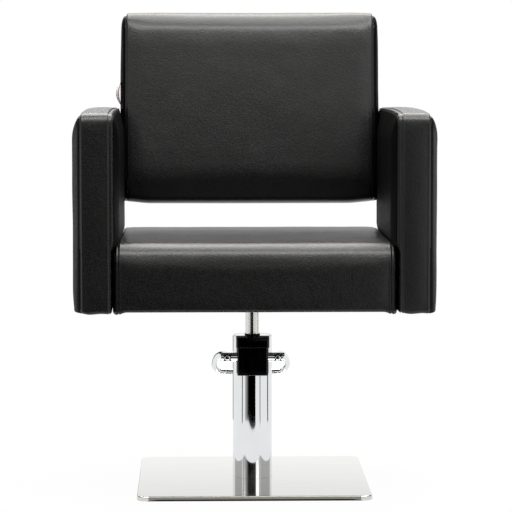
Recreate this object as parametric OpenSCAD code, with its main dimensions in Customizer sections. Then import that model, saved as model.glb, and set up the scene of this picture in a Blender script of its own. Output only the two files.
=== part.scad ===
// Hydraulic styling chair: a square steel base, a foot-pumped column, a slab seat,
// two slab arms and a backrest held between the arms.
// Millimetres. +Z is up, the floor is z = 0, the column axis is x = y = 0, the sitter faces -Y.

/* [Base] */
// Side of the square base cover
base_w = 440; // [400:5:520]
// Corner radius of the base cover, seen from above
base_corner_r = 18; // [12:1:30]
// Thickness of the stainless cover sheet
cover_t = 1.5; // [1:0.1:2.5]
// Height of the turned-down rim, from the cover's top face
rim_h = 5.8; // [4:0.1:6.5]
// Radius of the rim's rolled top edge
rim_r = 2.5; // [1:0.1:3.5]
// Thickness of the weighted steel plate
plate_t = 5.5; // [5:0.5:12]
// Thickness of the rubber floor mat
mat_t = 3; // [2:0.5:6]
// How far the floor mat stands in from the cover's outer edge
mat_inset = 5; // [3:0.5:12]
// Pitch circle of the bolts that hold the column foot
foot_pcd = 50; // [46:1:54]
// Diameter of the column foot bolts
foot_bolt_d = 10; // [6:1:10]
// Height of the column foot
foot_h = 22; // [18:1:30]

/* [Column] */
// Outside diameter of the chromed column tube
tube_d = 76; // [74:1:84]
// Wall of the column tube
tube_wall = 2; // [1.5:0.5:3]
// Diameter of the piston rod
rod_d = 26; // [22:1:27]
// Lift of the seat
stroke = 120; // [80:5:160]
// Bore of the oil cylinder
cyl_bore = 40; // [36:1:44]
// Wall of the oil cylinder
cyl_wall = 3; // [2:0.5:5]
// Length of the piston
piston_h = 20; // [16:1:30]
// Thickness of the thrust washer on the piston
washer_t = 3; // [2:0.5:5]
// Diameter of the rod's lower spigot, which turns in the piston
spigot_d = 16; // [12:1:18]
// Height of the pump head casting
head_h = 36; // [34:1:50]
// Wall of the rod's guide bush
bush_wall = 3; // [2:0.5:4]
// Height of the rod seal above the guide bush
seal_h = 7; // [4:1:10]

/* [Pump head] */
// Room between the pedal fingers and the inside of the front cover
front_room = 1.5; // [1:0.5:3]
// Wall of the black front cover
cover_wall = 2.5; // [1.5:0.5:3.5]
// How far the front cover reaches below the top of the pump head
front_skirt = 4; // [3.5:0.5:12]
// Height of the cap on top of the column
cap_h = 20; // [14:0.5:30]
// How far the cap's lip stands out from the front cover
cap_lip = 2; // [1:0.5:3]
// Height of the rod wiper above the cap
wiper_rise = 3; // [2:0.5:8]
// Height of the pedal shaft above the pump head
shaft_rise = 30; // [28:1:40]
// Gap between the pedal shaft's axis and the underside of the cap
shaft_to_cap = 20; // [15:1:30]
// Wall between the pedal shaft's bore and the rod side of its lugs
lug_wall = 4; // [3:0.5:6]
// Width of each lug
lug_w = 9; // [6:1:9]
// Diameter of the two pump plungers
plunger_d = 9; // [6:0.5:10]
// Length of each pump plunger
plunger_len = 45; // [42:1:48]
// Wire diameter of the plunger springs
wire_d = 1.6; // [1:0.1:1.8]
// Turns of each plunger spring
spring_turns = 6; // [4:1:6]

/* [Pedal] */
// Diameter of the pedal shaft
shaft_d = 18; // [16:1:20]
// Length of the pedal shaft
shaft_len = 123; // [115:1:150]
// Sideways place of the pedal bar's ends on the shaft
leg_x = 48.7; // [46:0.1:54]
// Diameter of the pedal bar
bar_d = 10; // [8:0.5:12]
// Half width of the pedal loop, at the middle of the bar
loop_half_w = 73; // [62:1:90]
// Reach of the pedal loop behind the shaft
loop_reach = 190; // [160:1:230]
// Drop of the pedal loop's back below the shaft
loop_drop = 54; // [30:1:80]
// Depth of the flats on the shaft that seat the bar and the bolt heads
flat_depth = 2; // [1:0.5:3]
// Diameter of the pedal bolts
pedal_bolt_d = 6; // [4:1:7]
// Diameter of the pedal bolt heads
pedal_head_d = 12.6; // [10:0.1:14]

/* [Seat] */
// Width of the seat cushion
seat_w = 524; // [440:2:560]
// Depth of the seat cushion
seat_d = 500; // [440:5:540]
// Thickness of the seat, from its underside to its top seams
seat_h = 121; // [90:1:150]
// How far the seat's front stands before the column axis
seat_front = 255; // [220:5:290]
// Crown of the seat's top above its seams
seat_crown = 5; // [2:0.5:10]
// Height of the seat's underside above the cap, at the lowest lift
seat_rise = 71.5; // [60:0.5:100]
// Thickness of the seat board
board_t = 21; // [18:1:30]
// Foam over the edges of the seat board
side_foam = 15; // [12:1:30]
// Side of the square steel bracket under the seat
bracket_w = 200; // [190:5:260]
// Thickness of the steel bracket
bracket_t = 6; // [4:0.5:10]
// Outside diameter of the bracket's hub
hub_d = 42; // [38:1:50]
// Width of the cross rails
rail_w = 40; // [30:1:60]
// Thickness of the cross rails
rail_t = 5; // [4:0.5:8]
// Distance of each cross rail from the column axis
rail_y = 75; // [60:1:76]
// Diameter of the bolts in the seat and the arms
frame_bolt_d = 8; // [6:1:10]
// Thickness of the dust cloths
cloth_t = 1; // [0.6:0.1:2]

/* [Arms] */
// Thickness of an arm, over the bulges of both its sides
arm_t = 70; // [62:1:100]
// Height of an arm
arm_h = 370; // [330:5:420]
// Depth of an arm
arm_d = 550; // [500:5:600]
// How far an arm stands before the seat's front
arm_lead = 15; // [0:1:40]
// Gap between an arm and the seat
arm_gap = 1; // [0.6:0.2:3]
// Bulge of an arm's outer panel beyond its seam
arm_bulge_out = 11.5; // [6:0.5:14]
// Bulge of an arm's inner panel, beside the sitter
arm_bulge_in = 4; // [2:0.5:7]
// Thickness of the wooden arm core
core_t = 44; // [30:1:46]
// Foam over the front, top and back of an arm core
core_foam = 16; // [14:1:30]

/* [Back] */
// Gap between the backrest and each arm
back_side_gap = 4.4; // [0.8:0.2:10]
// Height of the backrest, along its slope
back_h = 383; // [340:1:500]
// Thickness of the backrest
back_t = 80; // [74:1:120]
// Lean of the backrest
back_tilt = 7; // [0:0.5:12]
// Height of the backrest above the seat's seams
back_gap = 50; // [30:1:90]
// Crown of the backrest's front
back_crown = 7; // [2:0.5:12]
// Thickness of the backrest's wooden core
back_core_t = 20; // [16:1:26]
// Foam between the core and the backrest's edges
back_foam = 18; // [15:1:40]
// Thickness of the padded rear panel
rear_panel_t = 17; // [10:1:22]
// Diameter of the studs that join the backrest to the arms
stud_d = 10; // [8:1:12]
// Length of each stud
stud_len = 88; // [84:1:96]
// Height of the lower studs above the backrest's foot, along its slope
stud_foot = 50; // [30:1:70]
// Depth of the upper studs below the top of the arm cores
stud_edge = 35; // [20:1:60]
// Wood between the upper studs' axes and the rear of the arm cores
stud_margin = 12; // [9:1:40]
// Height of the sewn side loop's foot above the tops of the arms, or below them if negative
tag_lift = -6; // [-10:1:60]
// Length of the sewn side loop
tag_len = 50; // [20:1:60]

/* [Clearances] */
// Running clearance between a shaft and its bore, on the radius
run_gap = 0.05; // [0.02:0.01:0.1]
// Gap between hard pieces that are pushed together, on the radius
push_gap = 0.05; // [0.02:0.01:0.1]
// Seating gap between pieces that lie against each other without a fit
seat_gap = 0.3; // [0.2:0.1:0.5]
// Room around a bolt, on the radius
bolt_gap = 0.3; // [0.2:0.1:0.5]

/* [Hidden] */
$fn = 64;

// Heights of the base, from the floor up
plate_z = mat_t;
plate_top = plate_z + plate_t;
base_top = plate_top + cover_t;

// Column foot and oil cylinder
tube_r = tube_d / 2;
tube_in_r = tube_r - tube_wall;
cyl_in_r = cyl_bore / 2;
cyl_out_r = cyl_in_r + cyl_wall;
foot_top = plate_top + foot_h;
cyl_seat = 4;
cyl_z = foot_top - cyl_seat;
foot_floor = 4;
foot_bolt_bite = foot_h - cyl_seat - foot_floor;
plate_gap = 0.5;
countersink_h = foot_bolt_d * 0.45;

// Piston, its washer and the rod's spigot, at the lowest lift
clip_t = 1.5;
clip_room = 5;
clip_rim = 2;
groove_depth = 1;
piston_z = foot_top + clip_room;
washer_z = piston_z + piston_h;
rod_z = washer_z + washer_t;
rod_r = rod_d / 2;
spigot_r = spigot_d / 2;
spigot_tail = 3.5;
ring_h = 6;
ring_depth = 3.5;

// Pump head, bush, seal and the lugs that carry the pedal shaft
stop_gap = 1;
head_z = rod_z + stroke + stop_gap;
head_top = head_z + head_h;
bush_r = rod_r + bush_wall;
wedge = 2;
plunger_r = plunger_d / 2;
plunger_x = bush_r + wedge + plunger_r;
shaft_r = shaft_d / 2;
shaft_z = head_top + shaft_rise;
rod_room = 1.5;
shaft_y = -(rod_r + rod_room + lug_wall + shaft_r);
finger_gap = 2;
finger_w = 7;
finger_x0 = plunger_x - finger_w / 2;
finger_hub_r = shaft_r + 3.7;
finger_tip_r = 5;
pin_r = 2;
lug_x = finger_x0 - finger_gap - lug_w;
front_w = 2 * (finger_x0 + finger_w + front_room + cover_wall);
front_y = shaft_y - finger_hub_r - front_room - cover_wall;
lug_front_y = front_y + cover_wall + seat_gap;

// Cap, front cover and tube top
cap_z = shaft_z + shaft_to_cap;
cap_top = cap_z + cap_h;
tube_top = cap_top;
notch_gap = 1.5;
cut_gap = 1;
cut_half_w = front_w / 2 + cut_gap;
cut_edge_y = sqrt(pow(tube_r, 2) - pow(cut_half_w, 2));
front_z = head_top - front_skirt;
front_h = cap_z - front_z;
cut_z = front_z + cut_gap;
lug_root = min(1, front_skirt - cover_wall - seat_gap);
wiper_r = rod_r + 2.2;
wiper_flange_r = rod_r + 5;
wiper_z = cap_top - 6;

// Pump plungers and their springs
plunger_top = shaft_z - finger_tip_r - seat_gap;
plunger_head_t = 3;
plunger_head_r = plunger_r + 2;
plunger_travel_room = 11;
plunger_z = plunger_top - plunger_len;
bore_z = max(plunger_z - plunger_travel_room, head_z + 2);
spring_sides = 6;
spring_steps = 10;
spring_r = (plunger_r + wire_d / 2 + 0.3) / cos(180 / spring_steps);

// Pedal bar route, right half, from the shaft to the middle of the loop's back
bar_r = bar_d / 2;
bar_sides = 12;
bar_steps = 6;
leg_run = 30;
bolt_bite = 14;
pedal_head_t = 5.5;
flat_w = pedal_head_d + 1;
bar_start_y = shaft_r - flat_depth;
loop_corner = 26;
bar_half = [
    [leg_x, bar_start_y, 0],
    [leg_x, bar_start_y + leg_run / 2, 0],
    [leg_x, bar_start_y + leg_run, 0],
    [leg_x + (loop_half_w - leg_x) * 0.32, loop_reach * 0.42, -loop_drop * 0.04],
    [leg_x + (loop_half_w - leg_x) * 0.8, loop_reach * 0.66, -loop_drop * 0.27],
    [loop_half_w, loop_reach * 0.85, -loop_drop * 0.66],
    [loop_half_w - loop_corner * 0.3, loop_reach * 0.965, -loop_drop * 0.93],
    [loop_half_w - loop_corner, loop_reach, -loop_drop],
    [0, loop_reach, -loop_drop]
];
bar_points = concat(bar_half, [for (i = [len(bar_half) - 2 : -1 : 0])
                               [-bar_half[i][0], bar_half[i][1], bar_half[i][2]]]);

// Seat, bracket, rails and cloths, from the top down
seat_z = cap_top + seat_rise;
seat_half_w = seat_w / 2;
seat_box = [-seat_front, seat_d - seat_front, seat_z, seat_z + seat_h];
seat_radii = [7, 7, 24, 36];
seat_bulge = 11.5;
seat_pillow = 20;
board_half_w = seat_half_w - side_foam;
rail_z = seat_z - cloth_t - rail_t;
bracket_z = rail_z - bracket_t;
hub_skirt = 12;
hub_z = bracket_z - hub_skirt;
hub_top = seat_z + 7;
hub_r = hub_d / 2;
neck_r = rod_r - 1.5;
shoulder_z = hub_z + 8;
frame_head_t = 5.3;
frame_head_r = frame_bolt_d * 0.81;
board_bite = 16;
arm_bite = 38;
bracket_edge = 20;
bracket_bolt_x = bracket_w / 2 - bracket_edge;

// Arms
arm_in_x = seat_half_w + arm_gap;
arm_seam = (arm_t - arm_bulge_in - arm_bulge_out) / 2;
arm_mid_x = arm_in_x + arm_bulge_in + arm_seam;
arm_box = [-seat_front - arm_lead, arm_d - seat_front - arm_lead, seat_z, seat_z + arm_h];
arm_radii = [7, 7, 24, 24];
arm_pillow = 36;
rail_half_len = arm_mid_x + rail_w / 2;

// Backrest, in its own leaning frame: y is depth, z runs up the slope
back_z = seat_z + seat_h + back_gap;
back_half_w = arm_in_x - back_side_gap;
back_box = [-back_t / 2, back_t / 2, 0, back_h];
back_radii = [30, 14, 16, 30];
back_bulge = 11.5;
back_pillow = 22;
core_half_w = back_half_w - back_foam;
panel_back_y = back_t / 2;
panel_y = panel_back_y - rear_panel_t;
back_core_y = panel_y - seat_gap - back_core_t;
stud_y = back_core_y + back_core_t / 2;
arm_core_top = arm_box[3] - core_foam;
arm_core_rear = arm_box[1] - core_foam;
stud_top_z = arm_core_top - stud_edge;
stud_rows = [stud_foot, (stud_top_z - back_z + stud_y * sin(back_tilt)) / cos(back_tilt)];
back_y = arm_core_rear - stud_margin - stud_rows[1] * sin(back_tilt) - stud_y * cos(back_tilt);
tag_bow = 9;
tag_t = 0.9;
tag_w = 15;
tag_y = -22;
tag_steps = 12;
tag_v = (arm_box[3] + tag_lift - back_z) / cos(back_tilt);

// Outlines and skins

arc_steps = 5;
edge_steps = 3;

// Rounded outline in a side plane, counter-clockwise from the front bottom corner.
// b is [front, back, bottom, top], r and crown follow the corners and the edges in turn:
// front bottom, back bottom, back top, front top, then bottom, back, top, front.
function outline(b, r, crown) =
    let (c = [[b[0] + r[0], b[2] + r[0]], [b[1] - r[1], b[2] + r[1]],
              [b[1] - r[2], b[3] - r[2]], [b[0] + r[3], b[3] - r[3]]],
         out = [[0, -1], [1, 0], [0, 1], [-1, 0]],
         corner = function(k, a) c[k] + r[k] * [cos(a), sin(a)])
    [for (k = [0:3])
        let (a0 = 180 + 90 * k, n = (k + 1) % 4, from = corner(k, a0 + 90), to = corner(n, a0 + 90))
        each concat(
            [for (s = [0:arc_steps]) corner(k, a0 + 90 * s / arc_steps)],
            [for (s = [1:edge_steps])
                let (t = s / (edge_steps + 1))
                from + (to - from) * t + out[k] * crown[k] * (1 - pow(2 * t - 1, 2))])];

// Faces of a skin over rings of n points each, closed at both ends around two added centre points
function skin_faces(rings, n) =
    let (last = rings - 1, first_mid = rings * n, last_mid = rings * n + 1)
    concat(
        [for (i = [0 : last - 1], j = [0 : n - 1])
            let (a = i * n + j, b = i * n + (j + 1) % n, d = a + n, c = b + n)
            each [[a, d, c], [a, c, b]]],
        [for (j = [0 : n - 1]) [j, (j + 1) % n, first_mid]],
        [for (j = [0 : n - 1]) [last * n + (j + 1) % n, last * n + j, last_mid]]);

// Sum of a list of numbers
function sum(list, i = 0) = i < len(list) ? list[i] + sum(list, i + 1) : 0;

module skin(rings) {
    n = len(rings[0]);
    points = concat([for (ring = rings) each ring],
                    [[for (k = [0:2]) sum([for (p = rings[0]) p[k]]) / n],
                     [for (k = [0:2]) sum([for (p = rings[len(rings) - 1]) p[k]]) / n]]);
    polyhedron(points, skin_faces(len(rings), n));
}

// A padded slab sewn from one wrapped strip and two bulging side panels.
// seam is half the strip's width, bulge gives each panel's height over its seam, left and right,
// pillow is how far in from the seams they flatten out, crown is the strip's own swell.
// Corners tighten as the panels run in, so that an outline never folds over itself.
pillow_steps = 4;
strip_steps = 4;
module padded_slab(seam, b, r, bulge, pillow, crown) {
    rise = [for (s = [1:pillow_steps])
        let (a = 90 * s / pillow_steps) [sin(a), pillow * (1 - cos(a))]];
    stations = concat([for (i = [pillow_steps - 1 : -1 : 0]) [-seam - bulge[0] * rise[i][0], rise[i][1]]],
                      [for (s = [0:strip_steps]) [seam * (2 * s / strip_steps - 1), 0]],
                      [for (p = rise) [seam + bulge[1] * p[0], p[1]]]);
    foot_share = 0.15;
    skin([for (st = stations)
        let (u = st[0], inset = st[1], swell = max(0, 1 - pow(u / seam, 2)),
             box = [b[0] + inset, b[1] - inset, b[2] + inset * foot_share, b[3] - inset],
             turn = [for (k = [0:3]) max(r[k] - inset, r[k] / 4)])
        [for (p = outline(box, turn, crown * swell)) [u, p[0], p[1]]]]);
}

// Unit vector
function unit(v) = v / norm(v);

// Point and direction on a smooth curve through all the points, s counts whole spans
function curve_at(p, s) =
    let (last = len(p) - 1, i = min(floor(s), last - 1), t = s - i,
         a = p[max(i - 1, 0)], b = p[i], c = p[i + 1], d = p[min(i + 2, last)])
    0.5 * ((2 * b) + (c - a) * t + (2 * a - 5 * b + 4 * c - d) * t * t
           + (3 * b - a - 3 * c + d) * t * t * t);

// Rings of a round tube of radius r along a list of path points, with flat square ends
function tube_rings(path, r, sides) =
    let (last = len(path) - 1)
    [for (i = [0:last])
        let (t = unit(path[min(i + 1, last)] - path[max(i - 1, 0)]),
             n1 = unit(cross([0, 0, 1], t)), n2 = cross(t, n1))
        [for (k = [0 : sides - 1]) path[i] + r * (cos(360 * k / sides) * n1 + sin(360 * k / sides) * n2)]];

// Small shared shapes

// Square slab with rounded corners, standing on z = 0
module rounded_slab(w, r, h) {
    corner = w / 2 - r;
    linear_extrude(h) union() {
        square([w, w - 2 * r], center = true);
        square([w - 2 * r, w], center = true);
        for (x = [-corner, corner], y = [-corner, corner]) translate([x, y]) circle(r);
    }
}

module at_four(x, y) {
    for (sx = [-1, 1], sy = [-1, 1]) translate([sx * x, sy * y, 0]) children();
}

// Cylinder along X, from x0 to x1
module bar_x(x0, x1, r) {
    translate([x0, 0, 0]) rotate([0, 90, 0]) cylinder(r = r, h = x1 - x0);
}

// Cylinder along Y, from y0 to y1
module bar_y(y0, y1, r) {
    translate([0, y0, 0]) rotate([-90, 0, 0]) cylinder(r = r, h = y1 - y0);
}

// Leaning frame of the backrest
module on_back() {
    translate([0, back_y, back_z]) rotate([-back_tilt, 0, 0]) children();
}

// Base

module floor_mat() {
    color("#141414") difference() {
        rounded_slab(base_w - 2 * mat_inset, base_corner_r - mat_inset / 2, mat_t);
        foot_bolt_places() translate([0, 0, -1]) cylinder(r = foot_bolt_d, h = mat_t + 2);
    }
}

module foot_bolt_places() {
    for (a = [45:90:315]) rotate(a) translate([foot_pcd / 2, 0, 0]) children();
}

module foot_bolt(grow) {
    r = foot_bolt_d / 2 + grow;
    translate([0, 0, plate_z]) cylinder(r1 = r + countersink_h, r2 = r, h = countersink_h);
    translate([0, 0, plate_z]) cylinder(r = r, h = plate_t + foot_bolt_bite + grow);
}

module base_plate() {
    plate_w = base_w - 2 * (cover_t + plate_gap);
    color("#1c1c1e") difference() {
        translate([0, 0, plate_z]) rounded_slab(plate_w, base_corner_r - cover_t, plate_t);
        foot_bolt_places() foot_bolt(bolt_gap);
    }
}

module foot_bolts() {
    color("#8d8f92") foot_bolt_places() foot_bolt(0);
}

// Pressed sheet with a rolled top edge and a rim turned down over the plate
module base_cover() {
    corner = base_w / 2 - base_corner_r;
    color("#d9dadb") difference() {
        hull() at_four(corner, corner) rotate_extrude($fn = 32) {
            translate([0, base_top - rim_h]) square([base_corner_r, rim_h - rim_r]);
            translate([0, base_top - rim_r]) square([base_corner_r - rim_r, rim_r]);
            intersection() {
                translate([base_corner_r - rim_r, base_top - rim_r]) circle(rim_r, $fn = 32);
                translate([0, base_top - rim_r]) square([base_corner_r, rim_r]);
            }
        }
        translate([0, 0, plate_top - rim_h - 1])
            rounded_slab(base_w - 2 * cover_t, base_corner_r - cover_t, rim_h + 1);
        translate([0, 0, plate_top - 1]) cylinder(r = tube_r + seat_gap, h = cover_t + 2);
    }
}

module column_foot() {
    color("#6d7074") difference() {
        translate([0, 0, plate_top]) cylinder(r = tube_in_r - push_gap, h = foot_h);
        translate([0, 0, cyl_z]) cylinder(r = cyl_out_r + push_gap, h = cyl_seat + 1);
        foot_bolt_places() translate([0, 0, plate_top - 1])
            cylinder(r = foot_bolt_d / 2 + push_gap, h = foot_bolt_bite + 2);
    }
}

// Column

module column_tube() {
    color("#c9cbce") difference() {
        translate([0, 0, plate_top]) cylinder(r = tube_r, h = tube_top - plate_top);
        translate([0, 0, plate_top - 1]) cylinder(r = tube_in_r, h = tube_top - plate_top + 2);
        translate([-cut_half_w, -tube_d, cut_z]) cube([2 * cut_half_w, tube_d, tube_top]);
        translate([0, shaft_y, shaft_z]) bar_x(-tube_d, tube_d, shaft_r + notch_gap);
    }
}

module oil_cylinder() {
    color("#85888c") difference() {
        translate([0, 0, cyl_z]) cylinder(r = cyl_out_r, h = head_z - cyl_z);
        translate([0, 0, cyl_z - 1]) cylinder(r = cyl_in_r, h = head_z - cyl_z + 2);
    }
}

module pump_head() {
    lug_y1 = shaft_y + shaft_r + lug_wall;
    color("#9a9c9e") difference() {
        union() {
            translate([0, 0, head_z]) cylinder(r = tube_in_r - push_gap, h = head_h);
            for (side = [-1, 1])
                translate([side * (lug_x + lug_w / 2) - lug_w / 2, lug_front_y, head_top - lug_root])
                    cube([lug_w, lug_y1 - lug_front_y, cap_z - seat_gap - head_top + lug_root]);
        }
        translate([0, 0, head_z - 1]) cylinder(r = bush_r + push_gap, h = head_h + 2);
        for (side = [-1, 1]) translate([side * plunger_x, 0, bore_z])
            cylinder(r = plunger_r + run_gap, h = head_top - bore_z + 1);
        translate([0, shaft_y, shaft_z]) bar_x(-tube_d, tube_d, shaft_r + run_gap);
    }
}

module ring(z, h, r_out, r_in) {
    difference() {
        translate([0, 0, z]) cylinder(r = r_out, h = h);
        translate([0, 0, z - 1]) cylinder(r = r_in, h = h + 2);
    }
}

module guide_bush() {
    color("#b08d4a") ring(head_z, head_h - seal_h, bush_r, rod_r + run_gap);
}

module rod_seal() {
    color("#1a1a1a") ring(head_top - seal_h, seal_h, bush_r, rod_r + run_gap);
}

// Wiper ring with a flange clipped under the cap's collar
module rod_wiper() {
    color("#161616") difference() {
        union() {
            translate([0, 0, wiper_z]) cylinder(r = wiper_r, h = cap_top + wiper_rise - wiper_z);
            translate([0, 0, cap_z]) cylinder(r = wiper_flange_r, h = wiper_z - cap_z - seat_gap);
            translate([0, 0, wiper_z - 1]) cylinder(r = wiper_r, h = 2);
        }
        translate([0, 0, cap_z - 1]) cylinder(r = rod_r + run_gap, h = cap_h + wiper_rise + 2);
    }
}

// Cap that closes the front of the tube's top and overhangs the front cover
module head_cap() {
    lip_half_w = front_w / 2 + cap_lip;
    cap_front_y = front_y - cap_lip;
    color("#121212") difference() {
        union() {
            translate([-lip_half_w, cap_front_y, cap_z])
                cube([2 * lip_half_w, -cut_edge_y - seat_gap - cap_front_y, cap_h]);
            translate([seat_gap - cut_half_w, cap_front_y, cap_z])
                cube([2 * (cut_half_w - seat_gap), -cap_front_y - rod_r, cap_h]);
        }
        translate([0, 0, cap_z - 1]) cylinder(r = wiper_flange_r + push_gap, h = wiper_z - cap_z + 1);
        translate([0, 0, cap_z]) cylinder(r = wiper_r + push_gap, h = cap_h + 1);
    }
}

// Bright lid that closes the tube's top behind the cap, round the rod wiper
module head_lid() {
    color("#c9cbce") difference() {
        translate([0, 0, cap_z]) cylinder(r = tube_in_r - seat_gap, h = cap_h);
        translate([-tube_d, -tube_d, cap_z - 1]) cube([2 * tube_d, tube_d - rod_r + seat_gap, cap_h + 2]);
        translate([0, 0, cap_z - 1]) cylinder(r = wiper_flange_r + push_gap, h = wiper_z - cap_z + 1);
        translate([0, 0, cap_z]) cylinder(r = wiper_r + push_gap, h = cap_h + 1);
    }
}

// Box cover over the front of the pump head, open behind and above
module front_cover() {
    back_y0 = -cut_edge_y - seat_gap;
    inner_half_w = front_w / 2 - cover_wall;
    color("#101010") difference() {
        translate([-front_w / 2, front_y, front_z]) cube([front_w, back_y0 - front_y, front_h]);
        translate([-inner_half_w, front_y + cover_wall, front_z + cover_wall])
            cube([2 * inner_half_w, tube_d, front_h]);
        translate([0, 0, front_z - 1]) cylinder(r = tube_r + seat_gap, h = cut_z - front_z + cover_wall + 1);
        translate([0, shaft_y, shaft_z]) bar_x(-tube_d, tube_d, shaft_r + seat_gap);
        translate([-tube_d, shaft_y, shaft_z - shaft_r - seat_gap])
            cube([2 * tube_d, tube_d, 2 * (shaft_r + seat_gap)]);
    }
}

// Pump plungers and springs

spring_z0 = head_top + wire_d / 2 + seat_gap;
spring_z1 = plunger_top - plunger_head_t - wire_d / 2 - seat_gap;
spring_count = spring_turns * spring_steps;
spring_path = [for (i = [0:spring_count])
    let (a = 360 * i / spring_steps)
    [spring_r * cos(a), spring_r * sin(a), spring_z0 + (spring_z1 - spring_z0) * i / spring_count]];

// Least free gap between turns of a spring, measured on its own path points
spring_gap = min([for (i = [0:spring_count], j = [0:spring_count])
    if (j - i >= spring_steps / 2) norm(spring_path[i] - spring_path[j])]) - wire_d;
echo(spring_gap = spring_gap);

module plunger_springs() {
    color("#a4a6a8") for (side = [-1, 1])
        translate([side * plunger_x, 0, 0]) skin(tube_rings(spring_path, wire_d / 2, spring_sides));
}

module pump_plungers() {
    color("#b4b6b8") for (side = [-1, 1]) translate([side * plunger_x, 0, 0]) {
        translate([0, 0, plunger_z]) cylinder(r = plunger_r, h = plunger_len);
        translate([0, 0, plunger_top - plunger_head_t]) cylinder(r = plunger_head_r, h = plunger_head_t);
    }
}

// Pedal

module on_shaft() {
    translate([0, shaft_y, shaft_z]) children();
}

module pedal_shaft() {
    flat_y = shaft_r - flat_depth;
    color("#c9cbce") on_shaft() difference() {
        bar_x(-shaft_len / 2, shaft_len / 2, shaft_r);
        for (side = [-1, 1]) {
            translate([side * leg_x, 0, 0]) {
                translate([-flat_w / 2, flat_y, -shaft_r]) cube([flat_w, shaft_d, shaft_d]);
                translate([-flat_w / 2, -flat_y - shaft_d, -shaft_r]) cube([flat_w, shaft_d, shaft_d]);
                bar_y(-shaft_d, shaft_d, pedal_bolt_d / 2 + bolt_gap);
            }
            translate([side * (finger_x0 + finger_w / 2), 0, -shaft_d])
                cylinder(r = pin_r + push_gap, h = 2 * shaft_d);
        }
    }
}

// Pair of fingers on the shaft that push the plungers down
module pedal_fingers() {
    color("#55585c") on_shaft() for (side = [-1, 1]) difference() {
        x0 = side > 0 ? finger_x0 : -finger_x0 - finger_w;
        union() {
            bar_x(x0, x0 + finger_w, finger_hub_r);
            translate([0, -shaft_y, 0]) bar_x(x0, x0 + finger_w, finger_tip_r);
            translate([x0, 0, -finger_tip_r]) cube([finger_w, -shaft_y, 2 * finger_tip_r]);
        }
        bar_x(x0 - 1, x0 + finger_w + 1, shaft_r + push_gap);
        translate([x0 + finger_w / 2, 0, -shaft_d]) cylinder(r = pin_r + push_gap, h = 2 * shaft_d);
    }
}

module finger_pins() {
    color("#b4b6b8") on_shaft() for (side = [-1, 1])
        translate([side * (finger_x0 + finger_w / 2), 0, -finger_hub_r])
            cylinder(r = pin_r, h = 2 * finger_hub_r);
}

bar_path = let (spans = len(bar_points) - 1)
    [for (i = [0 : spans * bar_steps]) curve_at(bar_points, i / bar_steps)];

module pedal_bar() {
    color("#d2d4d6") on_shaft() difference() {
        skin(tube_rings([for (i = [len(bar_path) - 1 : -1 : 0]) bar_path[i]], bar_r, bar_sides));
        for (side = [-1, 1]) translate([side * leg_x, 0, 0])
            bar_y(0, bar_start_y + bolt_bite + 1, pedal_bolt_d / 2 + push_gap);
    }
}

module pedal_bolts() {
    head_y = -(shaft_r - flat_depth);
    color("#c4c6c8") on_shaft() for (side = [-1, 1]) translate([side * leg_x, 0, 0]) {
        bar_y(head_y - pedal_head_t, head_y, pedal_head_d / 2);
        bar_y(head_y - 1, bar_start_y + bolt_bite, pedal_bolt_d / 2);
    }
}

// Piston and rod

module piston() {
    groove_z = piston_z + (piston_h - ring_h) / 2;
    color("#7c7f83") difference() {
        ring(piston_z, piston_h, cyl_in_r - run_gap, spigot_r + run_gap);
        ring(groove_z, ring_h, cyl_in_r + 1, cyl_in_r - ring_depth);
    }
}

module piston_seal() {
    groove_z = piston_z + (piston_h - ring_h) / 2;
    color("#1b1b1b") ring(groove_z + push_gap, ring_h - 2 * push_gap, cyl_in_r - run_gap,
                          cyl_in_r - ring_depth + push_gap);
}

module thrust_washer() {
    color("#b08d4a") ring(washer_z, washer_t, rod_r + 3, spigot_r + run_gap);
}

module piston_rod() {
    tail_z = piston_z - spigot_tail;
    color("#cfd1d3") difference() {
        union() {
            translate([0, 0, tail_z]) cylinder(r = spigot_r, h = rod_z - tail_z + 1);
            translate([0, 0, rod_z + run_gap]) cylinder(r = rod_r, h = shoulder_z - rod_z - run_gap);
            translate([0, 0, shoulder_z - 1]) cylinder(r = neck_r, h = hub_top - shoulder_z + 1);
        }
        ring(piston_z - seat_gap - clip_t - push_gap, clip_t + 2 * push_gap, rod_r, spigot_r - groove_depth);
    }
}

module rod_clip() {
    color("#3a3c3e") ring(piston_z - seat_gap - clip_t, clip_t, spigot_r + clip_rim,
                          spigot_r - groove_depth + push_gap);
}

// Seat

module seat_bracket() {
    color("#1d1d1f") difference() {
        union() {
            translate([-bracket_w / 2, -bracket_w / 2, bracket_z]) cube([bracket_w, bracket_w, bracket_t]);
            translate([0, 0, hub_z]) cylinder(r = hub_r, h = hub_top - hub_z);
        }
        translate([0, 0, hub_z - 1]) cylinder(r = neck_r + push_gap, h = hub_top - hub_z + 2);
        translate([0, 0, hub_z - 1]) cylinder(r = rod_r + push_gap, h = shoulder_z - hub_z + 1);
        at_four(bracket_bolt_x, rail_y) translate([0, 0, bracket_z - 1])
            cylinder(r = frame_bolt_d / 2 + bolt_gap, h = bracket_t + 2);
    }
}

module cross_rails() {
    color("#1d1d1f") for (side = [-1, 1]) difference() {
        translate([-rail_half_len, side * rail_y - rail_w / 2, rail_z])
            cube([2 * rail_half_len, rail_w, rail_t]);
        for (x = [-arm_mid_x, -bracket_bolt_x, bracket_bolt_x, arm_mid_x])
            translate([x, side * rail_y, rail_z - 1])
                cylinder(r = frame_bolt_d / 2 + bolt_gap, h = rail_t + 2);
    }
}

// Hex bolt that points up from under z = 0
module frame_bolt(len) {
    translate([0, 0, -frame_head_t]) cylinder(r = frame_head_r, h = frame_head_t, $fn = 6);
    translate([0, 0, -1]) cylinder(r = frame_bolt_d / 2, h = len + 1);
}

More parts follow.
